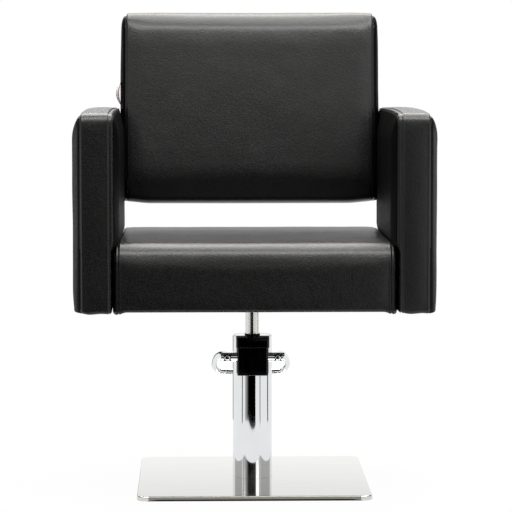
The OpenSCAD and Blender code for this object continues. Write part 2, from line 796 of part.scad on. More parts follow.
module bracket_bolts() {
    color("#9b9da0") at_four(bracket_bolt_x, rail_y) translate([0, 0, bracket_z])
        frame_bolt(seat_z + board_bite - bracket_z);
}

module arm_bolts() {
    color("#9b9da0") at_four(arm_mid_x, rail_y) translate([0, 0, rail_z])
        frame_bolt(seat_z + arm_bite - rail_z);
}

module frame_bolt_hole(depth, grow) {
    translate([0, 0, seat_z - 2 * cloth_t]) cylinder(r = frame_bolt_d / 2 + grow, h = depth + 2 * cloth_t + 1);
}

module seat_board() {
    y0 = seat_box[0] + side_foam;
    y1 = seat_box[1] - side_foam;
    color("#b8935f") difference() {
        translate([-board_half_w, y0, seat_z]) cube([2 * board_half_w, y1 - y0, board_t]);
        translate([0, 0, seat_z - 1]) cylinder(r = hub_r + seat_gap, h = board_t + 2);
        at_four(bracket_bolt_x, rail_y) frame_bolt_hole(board_bite, push_gap);
    }
}

module seat_cushion() {
    y0 = seat_box[0] + side_foam;
    y1 = seat_box[1] - side_foam;
    color("#1b1b1c") difference() {
        padded_slab(seat_half_w - seat_bulge, seat_box, seat_radii, [seat_bulge, seat_bulge], seat_pillow,
                    [0, 2, seat_crown, 2]);
        translate([-board_half_w, y0, seat_z - 1]) cube([2 * board_half_w, y1 - y0, board_t + 1]);
    }
}

module dust_cloths() {
    cloth_z = seat_z - cloth_t;
    arm_y0 = arm_box[0] + core_foam;
    arm_y1 = arm_box[1] - core_foam;
    color("#0f0f10") {
        difference() {
            translate([-board_half_w, seat_box[0] + side_foam, cloth_z])
                cube([2 * board_half_w, seat_d - 2 * side_foam, cloth_t]);
            translate([0, 0, cloth_z - 1]) cylinder(r = hub_r + seat_gap, h = cloth_t + 2);
            at_four(bracket_bolt_x, rail_y) frame_bolt_hole(board_bite, bolt_gap);
        }
        for (side = [-1, 1]) difference() {
            translate([side * arm_mid_x - core_t / 2, arm_y0, cloth_z])
                cube([core_t, arm_y1 - arm_y0, cloth_t]);
            at_four(arm_mid_x, rail_y) frame_bolt_hole(arm_bite, bolt_gap);
        }
    }
}

// Arms

module arm_core(side) {
    y0 = arm_box[0] + core_foam;
    y1 = arm_box[1] - core_foam;
    color("#b8935f") difference() {
        translate([side * arm_mid_x - core_t / 2, y0, seat_z])
            cube([core_t, y1 - y0, arm_h - core_foam]);
        at_four(arm_mid_x, rail_y) frame_bolt_hole(arm_bite, push_gap);
        stud_places() bar_x(-stud_end, stud_end, stud_d / 2 + push_gap);
    }
}

module arm_pad(side) {
    y0 = arm_box[0] + core_foam;
    y1 = arm_box[1] - core_foam;
    bulge = side > 0 ? [arm_bulge_in, arm_bulge_out] : [arm_bulge_out, arm_bulge_in];
    color("#1b1b1c") difference() {
        translate([side * arm_mid_x, 0, 0])
            padded_slab(arm_seam, arm_box, arm_radii, bulge, arm_pillow, [0, 2, 2, 2]);
        translate([side * arm_mid_x - core_t / 2, y0, seat_z - 1])
            cube([core_t, y1 - y0, arm_h - core_foam + 1]);
        stud_places() bar_x(-arm_mid_x, arm_mid_x, stud_d / 2 + bolt_gap);
    }
}

// Backrest

stud_inner = core_half_w - stud_len / 2 + (arm_mid_x - core_t / 2 - core_half_w) / 2;
stud_end = stud_inner + stud_len;

// Axes of the studs, in the leaning frame
module stud_places() {
    on_back() for (v = stud_rows) translate([0, stud_y, v]) children();
}

module back_studs() {
    color("#8d8f92") stud_places() {
        bar_x(stud_inner, stud_end, stud_d / 2);
        bar_x(-stud_end, -stud_inner, stud_d / 2);
    }
}

module back_core() {
    color("#b8935f") difference() {
        on_back() translate([-core_half_w, back_core_y, back_foam])
            cube([2 * core_half_w, back_core_t, back_h - 2 * back_foam]);
        stud_places() {
            bar_x(stud_inner - push_gap, back_half_w, stud_d / 2 + push_gap);
            bar_x(-back_half_w, push_gap - stud_inner, stud_d / 2 + push_gap);
        }
    }
}

module back_cushion() {
    color("#1b1b1c") difference() {
        on_back() difference() {
            padded_slab(back_half_w - back_bulge, back_box, back_radii, [back_bulge, back_bulge], back_pillow,
                        [2, 0, 2, back_crown]);
            translate([-core_half_w, back_core_y, back_foam])
                cube([2 * core_half_w, back_t, back_h - 2 * back_foam]);
        }
        stud_places() bar_x(-arm_mid_x, arm_mid_x, stud_d / 2 + bolt_gap);
    }
}

// Padded panel that closes the rear of the backrest
module back_panel() {
    edge = back_foam + seat_gap;
    bulge = 4;
    panel_box = [panel_y, panel_back_y, edge, back_h - edge];
    color("#1b1b1c") on_back()
        padded_slab(core_half_w - seat_gap - bulge, panel_box, [3, 5, 5, 3], [bulge, bulge],
                    rear_panel_t / 4, [0, 3, 0, 0]);
}

// Plain ribbon loop sewn into the side of the backrest
module side_loop() {
    rise = [for (s = [0:tag_steps]) [tag_bow * sin(180 * s / tag_steps), tag_len * s / tag_steps]];
    outer = [for (p = rise) [-back_half_w - p[0] - tag_t, tag_v + p[1]]];
    inner = [for (i = [tag_steps : -1 : 0]) [-back_half_w - rise[i][0], tag_v + rise[i][1]]];
    color("#8c8480") on_back() translate([0, tag_y + tag_w, 0]) rotate([90, 0, 0])
        linear_extrude(tag_w) polygon(concat(outer, inner));
}

floor_mat();
base_plate();
base_cover();
column_tube();
column_foot();
foot_bolts();
oil_cylinder();
pump_head();
guide_bush();
rod_seal();
rod_wiper();
head_cap();
head_lid();
front_cover();
plunger_springs();
pump_plungers();
pedal_shaft();
pedal_fingers();
finger_pins();
pedal_bar();
pedal_bolts();
piston();
piston_seal();
thrust_washer();
piston_rod();
rod_clip();
seat_bracket();
cross_rails();
bracket_bolts();
arm_bolts();
seat_board();
seat_cushion();
dust_cloths();
arm_core(-1);  // arm_core_left
arm_core(1);  // arm_core_right
arm_pad(-1);  // arm_pad_left
arm_pad(1);  // arm_pad_right
back_core();
back_cushion();
back_panel();
back_studs();
side_loop();
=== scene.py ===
from math import cos, hypot, pi, radians, sin, sqrt

import bmesh
import bpy
import numpy as np
from mathutils import Matrix, Vector, noise
from mathutils.bvhtree import BVHTree


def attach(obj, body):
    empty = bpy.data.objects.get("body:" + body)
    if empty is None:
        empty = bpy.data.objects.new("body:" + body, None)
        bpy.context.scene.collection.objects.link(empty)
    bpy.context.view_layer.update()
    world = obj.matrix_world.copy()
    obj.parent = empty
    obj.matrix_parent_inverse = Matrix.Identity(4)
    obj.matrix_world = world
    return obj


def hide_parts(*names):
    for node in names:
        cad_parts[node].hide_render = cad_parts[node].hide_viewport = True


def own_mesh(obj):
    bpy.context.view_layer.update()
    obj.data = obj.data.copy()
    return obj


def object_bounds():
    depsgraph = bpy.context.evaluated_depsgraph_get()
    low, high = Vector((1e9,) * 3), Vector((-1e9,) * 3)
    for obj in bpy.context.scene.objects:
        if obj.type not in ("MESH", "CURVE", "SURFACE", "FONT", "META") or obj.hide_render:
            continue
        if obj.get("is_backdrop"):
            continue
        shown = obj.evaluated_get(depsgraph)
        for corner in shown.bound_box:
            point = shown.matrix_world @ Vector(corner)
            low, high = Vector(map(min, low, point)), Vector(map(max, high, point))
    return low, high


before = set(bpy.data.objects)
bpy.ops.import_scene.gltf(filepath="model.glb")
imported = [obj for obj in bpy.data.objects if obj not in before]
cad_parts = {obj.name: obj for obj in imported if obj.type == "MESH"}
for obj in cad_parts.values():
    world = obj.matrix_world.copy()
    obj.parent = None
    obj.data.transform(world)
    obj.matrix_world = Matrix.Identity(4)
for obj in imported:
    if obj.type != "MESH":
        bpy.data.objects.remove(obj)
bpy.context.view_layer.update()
SCENE = bpy.context.scene

# Sizes in millimetres, as in the part's source

BASE_W = 440
BASE_CORNER = 18
BASE_TOP = 10
COVER_T = 1.5
RIM_LOW = 4.2
RIM_R = 2.5
HUB_R = 38.4
TUBE_R = 38
TUBE_IN_R = 36
TUBE_LOW = 8.5
CAP_LOW = 265.5
CAP_TOP = 285.5
WIPER_LOW = 279.5
WIPER_TOP = 288.5
COVER_HALF = 30
COVER_FRONT = -44.2
COVER_BACK = -22.28
COVER_LOW = 211.5
COVER_WALL = 2.5
CUT_HALF = 31
CUT_LOW = 212.5
LIP_HALF = 32
LIP_FRONT = -46.2
ROD_R = 13
WIPER_R = 15.2
FLANGE_R = 18
COIL_LOW = 215.9
COIL_TOP = 236.8
COIL_TURNS = 6
COIL_R = 5.75
WIRE_R = 0.8
PLUNGER_X = 22.5
SHAFT = Vector((0, -27.5, 245.5))
SHAFT_R = 9
SHAFT_HALF = 61.5
FLAT_DEPTH = 2
FLAT_HALF = 6.8
LEG_X = 48.7
BAR_R = 5
SEAT_Z = 357
SEAT_BOX = (-255, 245, 357, 478)
SEAT_SEAM = 250.5
SEAT_BULGE = 11.5
SEAT_BOARD = ((-247, -240, 356), (247, 230, 378))
ARM_BOX = (-270, 280, 357, 727)
ARM_MID = 294.25
ARM_SEAM = 27.25
ARM_BULGE_OUT = 11.5
ARM_BULGE_IN = 15
ARM_BULGE_AT_SEAT = 4
ARM_BULGE_AT_BACK = 8
ARM_CORE = (22, -254, 264, 711)
BACK_TILT = radians(7)
BACK_FOOT = Vector((0, 221.03, 528))
BACK_BOX = (-40, 40, 0, 383)
BACK_SEAM = 247.1
BACK_BULGE = 11.5
BACK_CORE = ((-240.6, 2.7, 18), (240.6, 60, 365))
PANEL_BOX = (23, 40, 18.3, 364.7)
PANEL_SEAM = 236.3
LOOP_FOOT = 194.5
LOOP_LEN = 50
LOOP_W = 15
RAIL_Y = 75
BRACKET_BOLT_X = 80
BRACKET_LOW = 345
RAIL_LOW = 351
HUB_HOLE_R = 21.3
SMALL_HOLE_R = 2

# Small helpers


def tint(code):
    """Linear colour of an sRGB hex value"""
    parts = [int(code[i:i + 2], 16) / 255 for i in (1, 3, 5)]
    return [c / 12.92 if c <= 0.04045 else ((c + 0.055) / 1.055) ** 2.4 for c in parts] + [1.0]


def set_sockets(tree, node, links):
    """Fills a node's sockets with values or with other nodes' outputs"""
    for key, value in links.items():
        if isinstance(value, bpy.types.NodeSocket):
            tree.links.new(value, node.inputs[key])
        else:
            node.inputs[key].default_value = value


def put(tree, kind, links=None, output=0, **settings):
    """Adds a node, sets it up, fills its sockets and gives one of its outputs, if it has any"""
    made = tree.nodes.new(kind)
    for name, value in settings.items():
        setattr(made, name, value)
    set_sockets(tree, made, links or {})
    return made.outputs[output] if made.outputs else None


def fresh(name, data):
    """New object in the scene"""
    made = bpy.data.objects.new(name, data)
    SCENE.collection.objects.link(made)
    return made


def piece_from(name, points, faces, material, edges=()):
    """Object with a smooth mesh from points in millimetres"""
    mesh = bpy.data.meshes.new(name)
    mesh.from_pydata((np.asarray(points, float) * 0.001).tolist(), list(edges), faces)
    if material:
        mesh.materials.append(material)
    mesh.shade_smooth()
    return fresh(name, mesh)


def grid(rows, count, ring=True, loop=False, flip=False):
    """Faces over rows of points; a ring joins each row's ends, a loop joins the last row to the first"""
    faces = []
    for i in range(rows if loop else rows - 1):
        for j in range(count if ring else count - 1):
            here, there, k = i * count, (i + 1) % rows * count, (j + 1) % count
            face = (here + j, here + k, there + k, there + j)
            faces.append((face[0],) + face[:0:-1] if flip else face)
    return faces


def outward(piece, merge=0.0):
    """Turns a piece's faces outwards, once points closer than the merge distance are one"""
    form = bmesh.new()
    form.from_mesh(piece.data)
    if merge:
        bmesh.ops.remove_doubles(form, verts=form.verts, dist=merge)
    bmesh.ops.recalc_face_normals(form, faces=form.faces)
    form.to_mesh(piece.data)
    form.free()
    return piece


def mark(piece, name, values):
    """Stores one value for each point of a piece"""
    made = piece.data.attributes.new(name, "FLOAT", "POINT")
    made.data.foreach_set("value", np.asarray(values, np.float32))


def coordinates(mesh):
    """Points of a mesh, one to a row"""
    found = np.zeros(len(mesh.vertices) * 3)
    mesh.vertices.foreach_get("co", found)
    return found.reshape(-1, 3)


def settle(piece):
    """Turns a piece's modifiers into plain mesh"""
    graph = bpy.context.evaluated_depsgraph_get()
    mesh = bpy.data.meshes.new_from_object(piece.evaluated_get(graph))
    piece.modifiers.clear()
    piece.data = mesh
    return piece


def thickened(piece, size):
    """Gives a sheet its thickness in millimetres, half to each side"""
    step = piece.modifiers.new("thick", "SOLIDIFY")
    step.thickness = size * 0.001
    step.offset = 0
    return settle(piece)


def crisp(piece, degrees=38):
    """Smooth shading that breaks at hard edges"""
    piece.data.shade_smooth()
    piece.data.set_sharp_from_angle(angle=radians(degrees))
    return piece


def carve(piece, tool, operation="DIFFERENCE"):
    """Cuts a piece with a tool body, which is then thrown away"""
    step = piece.modifiers.new("carve", "BOOLEAN")
    step.object = tool
    step.operation = operation
    step.solver = "EXACT"
    settle(piece)
    bpy.data.objects.remove(tool)
    return piece


def block(name, low, high, material=None, rounds=()):
    """Box between two corners; each round is a radius and a test that picks edges by their middle"""
    made = piece_from(name, [(0, 0, 0)], [], material)
    form = bmesh.new()
    bmesh.ops.create_cube(form, size=1)
    low, high = Vector(low), Vector(high)
    for point in form.verts:
        point.co = [(low[k] + high[k]) / 2 + point.co[k] * (high[k] - low[k]) for k in range(3)]
    for radius, test in rounds:
        picked = [e for e in form.edges if test((e.verts[0].co + e.verts[1].co) / 2)]
        bmesh.ops.bevel(form, geom=picked, offset=radius, segments=5, profile=0.5, affect="EDGES")
    bmesh.ops.scale(form, vec=(0.001,) * 3, verts=form.verts)
    form.to_mesh(made.data)
    form.free()
    return made


def turned(name, section, material=None, steps=96, close=True):
    """Body turned about Z from a section of (radius, height) points, up the outside, then back inside"""
    points = [(r * cos(a), r * sin(a), z)
              for a in (2 * pi * i / steps for i in range(steps)) for r, z in section]
    faces = grid(steps, len(section), ring=close, loop=True, flip=True)
    return crisp(outward(piece_from(name, points, faces, material), 1e-7))


def stacked(name, rings, material, close=True):
    """Skin over rings of equal length"""
    faces = grid(len(rings), len(rings[0]), loop=close)
    return outward(piece_from(name, [p for ring in rings for p in ring], faces, material))


def drill(radius, low, high, steps):
    """Round tool along Z"""
    return turned("tool", [(0, low), (radius, low), (radius, high), (0, high)], steps=steps)


def turn_to(piece, axis, place):
    """Lays a body made along Z along another axis, at a place in millimetres"""
    turn = Vector((0, 0, 1)).rotation_difference(Vector(axis)).to_matrix().to_4x4()
    piece.data.transform(Matrix.Translation(Vector(place) * 0.001) @ turn)
    return piece


def joined(name, parts):
    """One piece from several"""
    form = bmesh.new()
    for part in parts:
        form.from_mesh(part.data)
    mesh = bpy.data.meshes.new(name)
    form.to_mesh(mesh)
    form.free()
    mesh.materials.append(parts[0].data.materials[0])
    made = fresh(name, mesh)
    for part in parts:
        bpy.data.objects.remove(part)
    return crisp(made)


def done(piece, body, slot, *nodes):
    """Fixes a finished piece to its body and hides the solids it stands for; the finish slot it is given is
    not used
    """
    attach(piece, body)
    if nodes:
        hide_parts(*nodes)
    return piece


# Finishes


METAL = {"Metallic": 1.0}


def finish(name):
    """New material as (material, its tree, its shader, its object coordinates)"""
    made = bpy.data.materials.new(name)
    made.use_nodes = True
    tree = made.node_tree
    return made, tree, tree.nodes["Principled BSDF"], put(tree, "ShaderNodeTexCoord", None, "Object")


def leatherette(name, ior, coat, smooth, rough):
    # PVC leatherette, embossed: a fine pebble grain that breaks up the satin sheen of its top lacquer,
    # slightly uneven black, painted a touch paler on the ridges along the seams: partly rub wear, partly a
    # painted highlight of the light those ridges catch.
    # The real grain is under 1 mm; it is drawn at 2.2 mm so that it shows.
    made, tree, shader, place = finish(name)
    pebble = put(tree, "ShaderNodeTexVoronoi", {"Vector": place, "Scale": 1000 / 2.2}, "Distance",
                 feature="SMOOTH_F1")
    crease = put(tree, "ShaderNodeTexNoise",
                 {"Vector": place, "Scale": 1000 / 6, "Detail": 5, "Roughness": 0.6}, "Fac")
    cloud = put(tree, "ShaderNodeTexNoise", {"Vector": place, "Scale": 1000 / 60, "Detail": 3}, "Fac")
    height = put(tree, "ShaderNodeMath", {0: pebble, 1: crease}, operation="ADD")
    bump = put(tree, "ShaderNodeBump", {"Strength": 0.45, "Distance": 0.0006, "Height": height})
    # Paler colour on the seam ridges: rub wear together with a painted highlight
    ridge_wear_and_highlight = put(tree, "ShaderNodeAttribute", None, "Fac", attribute_name="ridge_wear_and_highlight")
    tone = put(tree, "ShaderNodeMix", {0: cloud, 6: tint("#040404"), 7: tint("#080808")}, 2, data_type="RGBA")
    ridge_wear_and_painted_highlight = put(tree, "ShaderNodeMix", {0: ridge_wear_and_highlight, 6: tone, 7: tint("#101011")}, 2, data_type="RGBA")
    gloss = put(tree, "ShaderNodeMapRange", {"Value": crease, 1: 0.3, 2: 0.7, 3: smooth, 4: rough})
    set_sockets(tree, shader, {"Base Color": ridge_wear_and_painted_highlight, "Roughness": gloss, "Normal": bump, "IOR": ior,
                               "Coat Weight": coat, "Coat Roughness": 0.28})
    return made


def stainless(name, front, rear, smooth, rough):
    # Stainless sheet, polished after a fine brushing: a mirror with a slight streaky haze along X; its colour
    # is painted darker to the front as painted shade, and the folds at front and rear are rougher and painted
    # greyer, also as painted shade
    made, tree, shader, place = finish(name)
    half = BASE_W * 0.0005
    drawn = put(tree, "ShaderNodeMapping", {"Vector": place, "Scale": (8, 1000 / 1.2, 1000 / 1.2)})
    streak = put(tree, "ShaderNodeTexNoise", {"Vector": drawn, "Scale": 1.0, "Detail": 4}, "Fac")
    cloud = put(tree, "ShaderNodeTexNoise", {"Vector": place, "Scale": 1000 / 120, "Detail": 2}, "Fac")
    haze = put(tree, "ShaderNodeMath", {0: streak, 1: cloud}, operation="MULTIPLY")
    gloss = put(tree, "ShaderNodeMapRange", {"Value": haze, 1: 0.1, 2: 0.4, 3: smooth, 4: rough})
    depth = put(tree, "ShaderNodeSeparateXYZ", {0: place}, "Y")
    # Colour grade from front to rear: painted shade, darker to the front
    back = put(tree, "ShaderNodeMapRange", {"Value": depth, 1: -half, 2: half})
    graded = put(tree, "ShaderNodeMath", {0: streak, 1: back}, operation="ADD")
    share = put(tree, "ShaderNodeMapRange", {"Value": graded, 1: 0.3, 2: 1.7})
    tone = put(tree, "ShaderNodeMix", {0: share, 6: tint(front), 7: tint(rear)}, 2, data_type="RGBA")
    bump = put(tree, "ShaderNodeBump", {"Strength": 0.03, "Distance": 0.0002, "Height": streak})
    set_sockets(tree, shader, {"Base Color": tone, "Roughness": gloss, "Normal": bump, **METAL})
    return made


def black_plastic(name, ior, smooth, rough):
    # Black ABS: deep black, with slight wipe marks and a faint orange peel; polished sides, matt top
    made, tree, shader, place = finish(name)
    etch = put(tree, "ShaderNodeTexNoise", {"Vector": place, "Scale": 1000 / 0.9, "Detail": 2}, "Fac")
    wipe = put(tree, "ShaderNodeTexNoise", {"Vector": place, "Scale": 1000 / 25, "Detail": 3}, "Fac")
    bump = put(tree, "ShaderNodeBump", {"Strength": 0.06, "Distance": 0.0002, "Height": etch})
    gloss = put(tree, "ShaderNodeMapRange", {"Value": wipe, 1: 0.3, 2: 0.7, 3: smooth, 4: rough})
    tone = put(tree, "ShaderNodeMix", {0: wipe, 6: tint("#010101"), 7: tint("#030303")}, 2, data_type="RGBA")
    set_sockets(tree, shader, {"Base Color": tone, "Roughness": gloss, "Normal": bump, "IOR": ior})
    return made


LEATHER = leatherette("leatherette", 1.42, 0.2, 0.34, 0.44)
# Duller copies for the side panels: lower IOR, no coat and rougher, so these panels read darker; the
# darkening is painted shade
INNER_SHADED_LEATHER = leatherette("leatherette_inner_panels", 1.1, 0, 0.44, 0.54)
OUTER_SHADED_LEATHER = leatherette("leatherette_outer_panels", 1.2, 0, 0.44, 0.54)
# Both stainless copies carry painted shade: the polished one darker towards the front, the edge one greyer
# all over
STAINLESS = stainless("polished_stainless", "#cccbc8", "#f2f2f0", 0.05, 0.14)
SHADED_EDGE_STAINLESS = stainless("stainless_edge_painted_shade", "#8c8a84", "#9a9892", 0.4, 0.5)
PLASTIC = black_plastic("black_abs", 1.35, 0.08, 0.13)
MATT_PLASTIC = black_plastic("black_abs_matt", 1.1, 0.5, 0.6)

# Bonded polyester thread, twisted: dark grey, crossed by paler short slanting strands that are a painted
# sheen
THREAD, tree, shader, place = finish("polyester_thread")
strand = put(tree, "ShaderNodeTexWave", {"Vector": place, "Scale": 1000 / 1.6, "Distortion": 2}, "Fac",
             bands_direction="DIAGONAL")
tone = put(tree, "ShaderNodeMix", {0: strand, 6: tint("#161617"), 7: tint("#303032")}, 2, data_type="RGBA")
set_sockets(tree, shader, {"Base Color": tone, "Roughness": 0.55})

# Chromium plate on polished steel: a clear mirror with faint wiping haze
CHROME, tree, shader, place = finish("chrome_plate")
haze = put(tree, "ShaderNodeTexNoise", {"Vector": place, "Scale": 1000 / 35, "Detail": 4}, "Fac")
gloss = put(tree, "ShaderNodeMapRange", {"Value": haze, 1: 0.35, 2: 0.75, 3: 0.03, 4: 0.085})
tone = put(tree, "ShaderNodeMix", {0: haze, 6: tint("#dcdee0"), 7: tint("#e8eaeb")}, 2, data_type="RGBA")
set_sockets(tree, shader, {"Base Color": tone, "Roughness": gloss, **METAL})

# Hard chrome on a ground rod: a greyer mirror than the plated parts, drawn out in fine streaks along Z
ROD_STEEL, tree, shader, place = finish("ground_hard_chrome")
drawn = put(tree, "ShaderNodeMapping", {"Vector": place, "Scale": (1000 / 1.5, 1000 / 1.5, 4)})
streak = put(tree, "ShaderNodeTexNoise", {"Vector": drawn, "Scale": 1.0, "Detail": 3}, "Fac")
gloss = put(tree, "ShaderNodeMapRange", {"Value": streak, 1: 0.3, 2: 0.7, 3: 0.14, 4: 0.24})
tone = put(tree, "ShaderNodeMix", {0: streak, 6: tint("#ccccc8"), 7: tint("#e6e6e2")}, 2, data_type="RGBA")
set_sockets(tree, shader, {"Base Color": tone, "Roughness": gloss, **METAL})

# Turned and ground steel: fine tool rings along Z, a greyer and duller mirror than the plate
STEEL, tree, shader, place = finish("turned_steel")
rings = put(tree, "ShaderNodeTexWave", {"Vector": place, "Scale": 1000 / 9, "Distortion": 1.5, "Detail": 2},
            "Fac", bands_direction="Z")
stain = put(tree, "ShaderNodeTexNoise", {"Vector": place, "Scale": 1000 / 18, "Detail": 4}, "Fac")
gloss = put(tree, "ShaderNodeMapRange", {"Value": rings, 3: 0.2, 4: 0.36})
tone = put(tree, "ShaderNodeMix", {0: stain, 6: tint("#a9abae"), 7: tint("#c3c5c8")}, 2, data_type="RGBA")
set_sockets(tree, shader, {"Base Color": tone, "Roughness": gloss, **METAL})

# Gravity-cast aluminium: grainy skin, dull grey
ALLOY, tree, shader, place = finish("cast_aluminium")
skin = put(tree, "ShaderNodeTexNoise", {"Vector": place, "Scale": 1000 / 1.5, "Detail": 3}, "Fac")
bump = put(tree, "ShaderNodeBump", {"Strength": 0.4, "Distance": 0.0004, "Height": skin})
tone = put(tree, "ShaderNodeMix", {0: skin, 6: tint("#96989a"), 7: tint("#b4b6b8")}, 2, data_type="RGBA")
set_sockets(tree, shader, {"Base Color": tone, "Roughness": 0.5, "Normal": bump, **METAL})

# Bearing bronze, turned: warm, with tool rings
BRONZE, tree, shader, place = finish("bearing_bronze")
rings = put(tree, "ShaderNodeTexWave", {"Vector": place, "Scale": 1000 / 6, "Distortion": 1}, "Fac",
            bands_direction="Z")
gloss = put(tree, "ShaderNodeMapRange", {"Value": rings, 3: 0.25, 4: 0.4})
tone = put(tree, "ShaderNodeMix", {0: rings, 6: tint("#a8803f"), 7: tint("#c29a58")}, 2, data_type="RGBA")
set_sockets(tree, shader, {"Base Color": tone, "Roughness": gloss, **METAL})

# Black polyester powder coat, baked: a low gloss with orange peel about 1.5 mm across
PAINT, tree, shader, place = finish("black_powder_coat")
peel = put(tree, "ShaderNodeTexNoise", {"Vector": place, "Scale": 1000 / 1.5, "Detail": 2}, "Fac")
dust = put(tree, "ShaderNodeTexNoise", {"Vector": place, "Scale": 1000 / 40, "Detail": 4}, "Fac")
bump = put(tree, "ShaderNodeBump", {"Strength": 0.25, "Distance": 0.0003, "Height": peel})
tone = put(tree, "ShaderNodeMix", {0: dust, 6: tint("#131314"), 7: tint("#1f1f21")}, 2, data_type="RGBA")
set_sockets(tree, shader, {"Base Color": tone, "Roughness": 0.42, "Normal": bump})

# Black rubber sheet, pressed between cloths: matt, with a faint weave print of about 6 mm
MAT, tree, shader, place = finish("pressed_rubber")
warp = put(tree, "ShaderNodeTexWave", {"Vector": place, "Scale": 1000 / 20}, "Fac", bands_direction="X")
weft = put(tree, "ShaderNodeTexWave", {"Vector": place, "Scale": 1000 / 20}, "Fac", bands_direction="Y")
weave = put(tree, "ShaderNodeMath", {0: warp, 1: weft}, operation="MAXIMUM")
bump = put(tree, "ShaderNodeBump", {"Strength": 0.3, "Distance": 0.0004, "Height": weave})
tone = put(tree, "ShaderNodeMix", {0: weave, 6: tint("#0c0c0c"), 7: tint("#151515")}, 2, data_type="RGBA")
set_sockets(tree, shader, {"Base Color": tone, "Roughness": 0.85, "Normal": bump})

# Nitrile rubber, moulded: smooth, dark, wiped with oil here and there
SEAL, tree, shader, place = finish("nitrile_rubber")
oil = put(tree, "ShaderNodeTexNoise", {"Vector": place, "Scale": 1000 / 12, "Detail": 3}, "Fac")
gloss = put(tree, "ShaderNodeMapRange", {"Value": oil, 1: 0.35, 2: 0.65, 3: 0.32, 4: 0.6})
tone = put(tree, "ShaderNodeMix", {0: oil, 6: tint("#090909"), 7: tint("#121212")}, 2, data_type="RGBA")
set_sockets(tree, shader, {"Base Color": tone, "Roughness": gloss})

# Birch plywood, raw: pale veneers 1.5 mm thick, stacked along Z, with a soft grain along Y
PLY, tree, shader, place = finish("birch_plywood")
veneer = put(tree, "ShaderNodeTexWave", {"Vector": place, "Scale": 1000 / 9.4}, "Fac", bands_direction="Z")
drawn = put(tree, "ShaderNodeMapping", {"Vector": place, "Scale": (1000 / 6, 1000 / 90, 1000 / 6)})
grain = put(tree, "ShaderNodeTexNoise", {"Vector": drawn, "Scale": 1.0, "Detail": 5}, "Fac")
wood = put(tree, "ShaderNodeMath", {0: veneer, 1: grain}, operation="MULTIPLY")
tone = put(tree, "ShaderNodeMix", {0: wood, 6: tint("#a77c4d"), 7: tint("#d9bb8c")}, 2, data_type="RGBA")
set_sockets(tree, shader, {"Base Color": tone, "Roughness": 0.7})

# Spunbonded polypropylene: a black felt of loose threads, pinched in a grid of dots 2.5 mm apart
CLOTH, tree, shader, place = finish("spunbond_cloth")
dots = put(tree, "ShaderNodeTexVoronoi", {"Vector": place, "Scale": 1000 / 2.5, "Randomness": 0.1},
           "Distance")
fluff = put(tree, "ShaderNodeTexNoise", {"Vector": place, "Scale": 1000 / 1.5, "Detail": 4}, "Fac")
bump = put(tree, "ShaderNodeBump", {"Strength": 0.5, "Distance": 0.0004, "Height": dots})
tone = put(tree, "ShaderNodeMix", {0: fluff, 6: tint("#060606"), 7: tint("#0f0f10")}, 2, data_type="RGBA")
set_sockets(tree, shader, {"Base Color": tone, "Roughness": 0.95, "Normal": bump})

# Woven satin ribbon: pale rose with a wine-red selvedge, crossed by fine weft ribs
RIBBON, tree, shader, place = finish("satin_ribbon")
edge = put(tree, "ShaderNodeAttribute", None, "Fac", attribute_name="selvedge")
weft = put(tree, "ShaderNodeTexWave", {"Vector": place, "Scale": 1000 / 6}, "Fac", bands_direction="Z")
pale = put(tree, "ShaderNodeMix", {0: weft, 6: tint("#e6c6c8"), 7: tint("#f2d9da")}, 2, data_type="RGBA")
tone = put(tree, "ShaderNodeMix", {0: edge, 6: pale, 7: tint("#5a1c26")}, 2, data_type="RGBA")
bump = put(tree, "ShaderNodeBump", {"Strength": 0.3, "Distance": 0.0002, "Height": weft})
set_sockets(tree, shader, {"Base Color": tone, "Roughness": 0.45, "Normal": bump, "Sheen Weight": 0.3})

# Solids that keep their own shape

for material, names in (
    (MAT, ["floor_mat"]),
    (PAINT, ["base_plate", "seat_bracket", "cross_rails"]),
    (STEEL, ["column_foot", "foot_bolts", "oil_cylinder", "pump_plungers", "pedal_fingers", "finger_pins",
             "piston", "rod_clip", "back_studs"]),
    (ALLOY, ["pump_head"]),
    (BRONZE, ["guide_bush", "thrust_washer"]),
    (SEAL, ["rod_seal", "piston_seal"]),
    (PLY, ["seat_board", "arm_core_left", "arm_core_right", "back_core"]),
):
    for name in names:
        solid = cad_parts[name]
        solid.data.materials.clear()
        solid.data.materials.append(material)

# Camera

camera_data = bpy.data.cameras.new("camera")
camera_data.sensor_width = 36
camera_data.lens = 173.0
camera = fresh("camera", camera_data)
camera.location = (-0.105, -4.7364, 0.857)
camera.rotation_euler = (radians(90 - 5.043), 0, -0.02367)
SCENE.camera = camera

# Base


def square_ring(half, corner, height):
    """Points round a square with rounded corners; a height may follow how near a point is to a corner"""
    steps = [0, 4, 9, 15, 24, 40, 80, 140]
    straight = half - corner
    points = []
    for k in range(4):
        turn = pi / 2 * k
        path = [(half, -straight + s, s) for s in steps if s < straight]
        path += [(half, 0, straight)]
        path += [(half, straight - s, s) for s in reversed(steps) if s < straight]
        path += [(straight + corner * cos(a), straight + corner * sin(a), 0)
                 for a in (pi / 2 * i / 12 for i in range(1, 12))]
        for x, y, away in path:
            z = height(away) if callable(height) else height
            points.append((x * cos(turn) - y * sin(turn), x * sin(turn) + y * cos(turn), z))
    return points


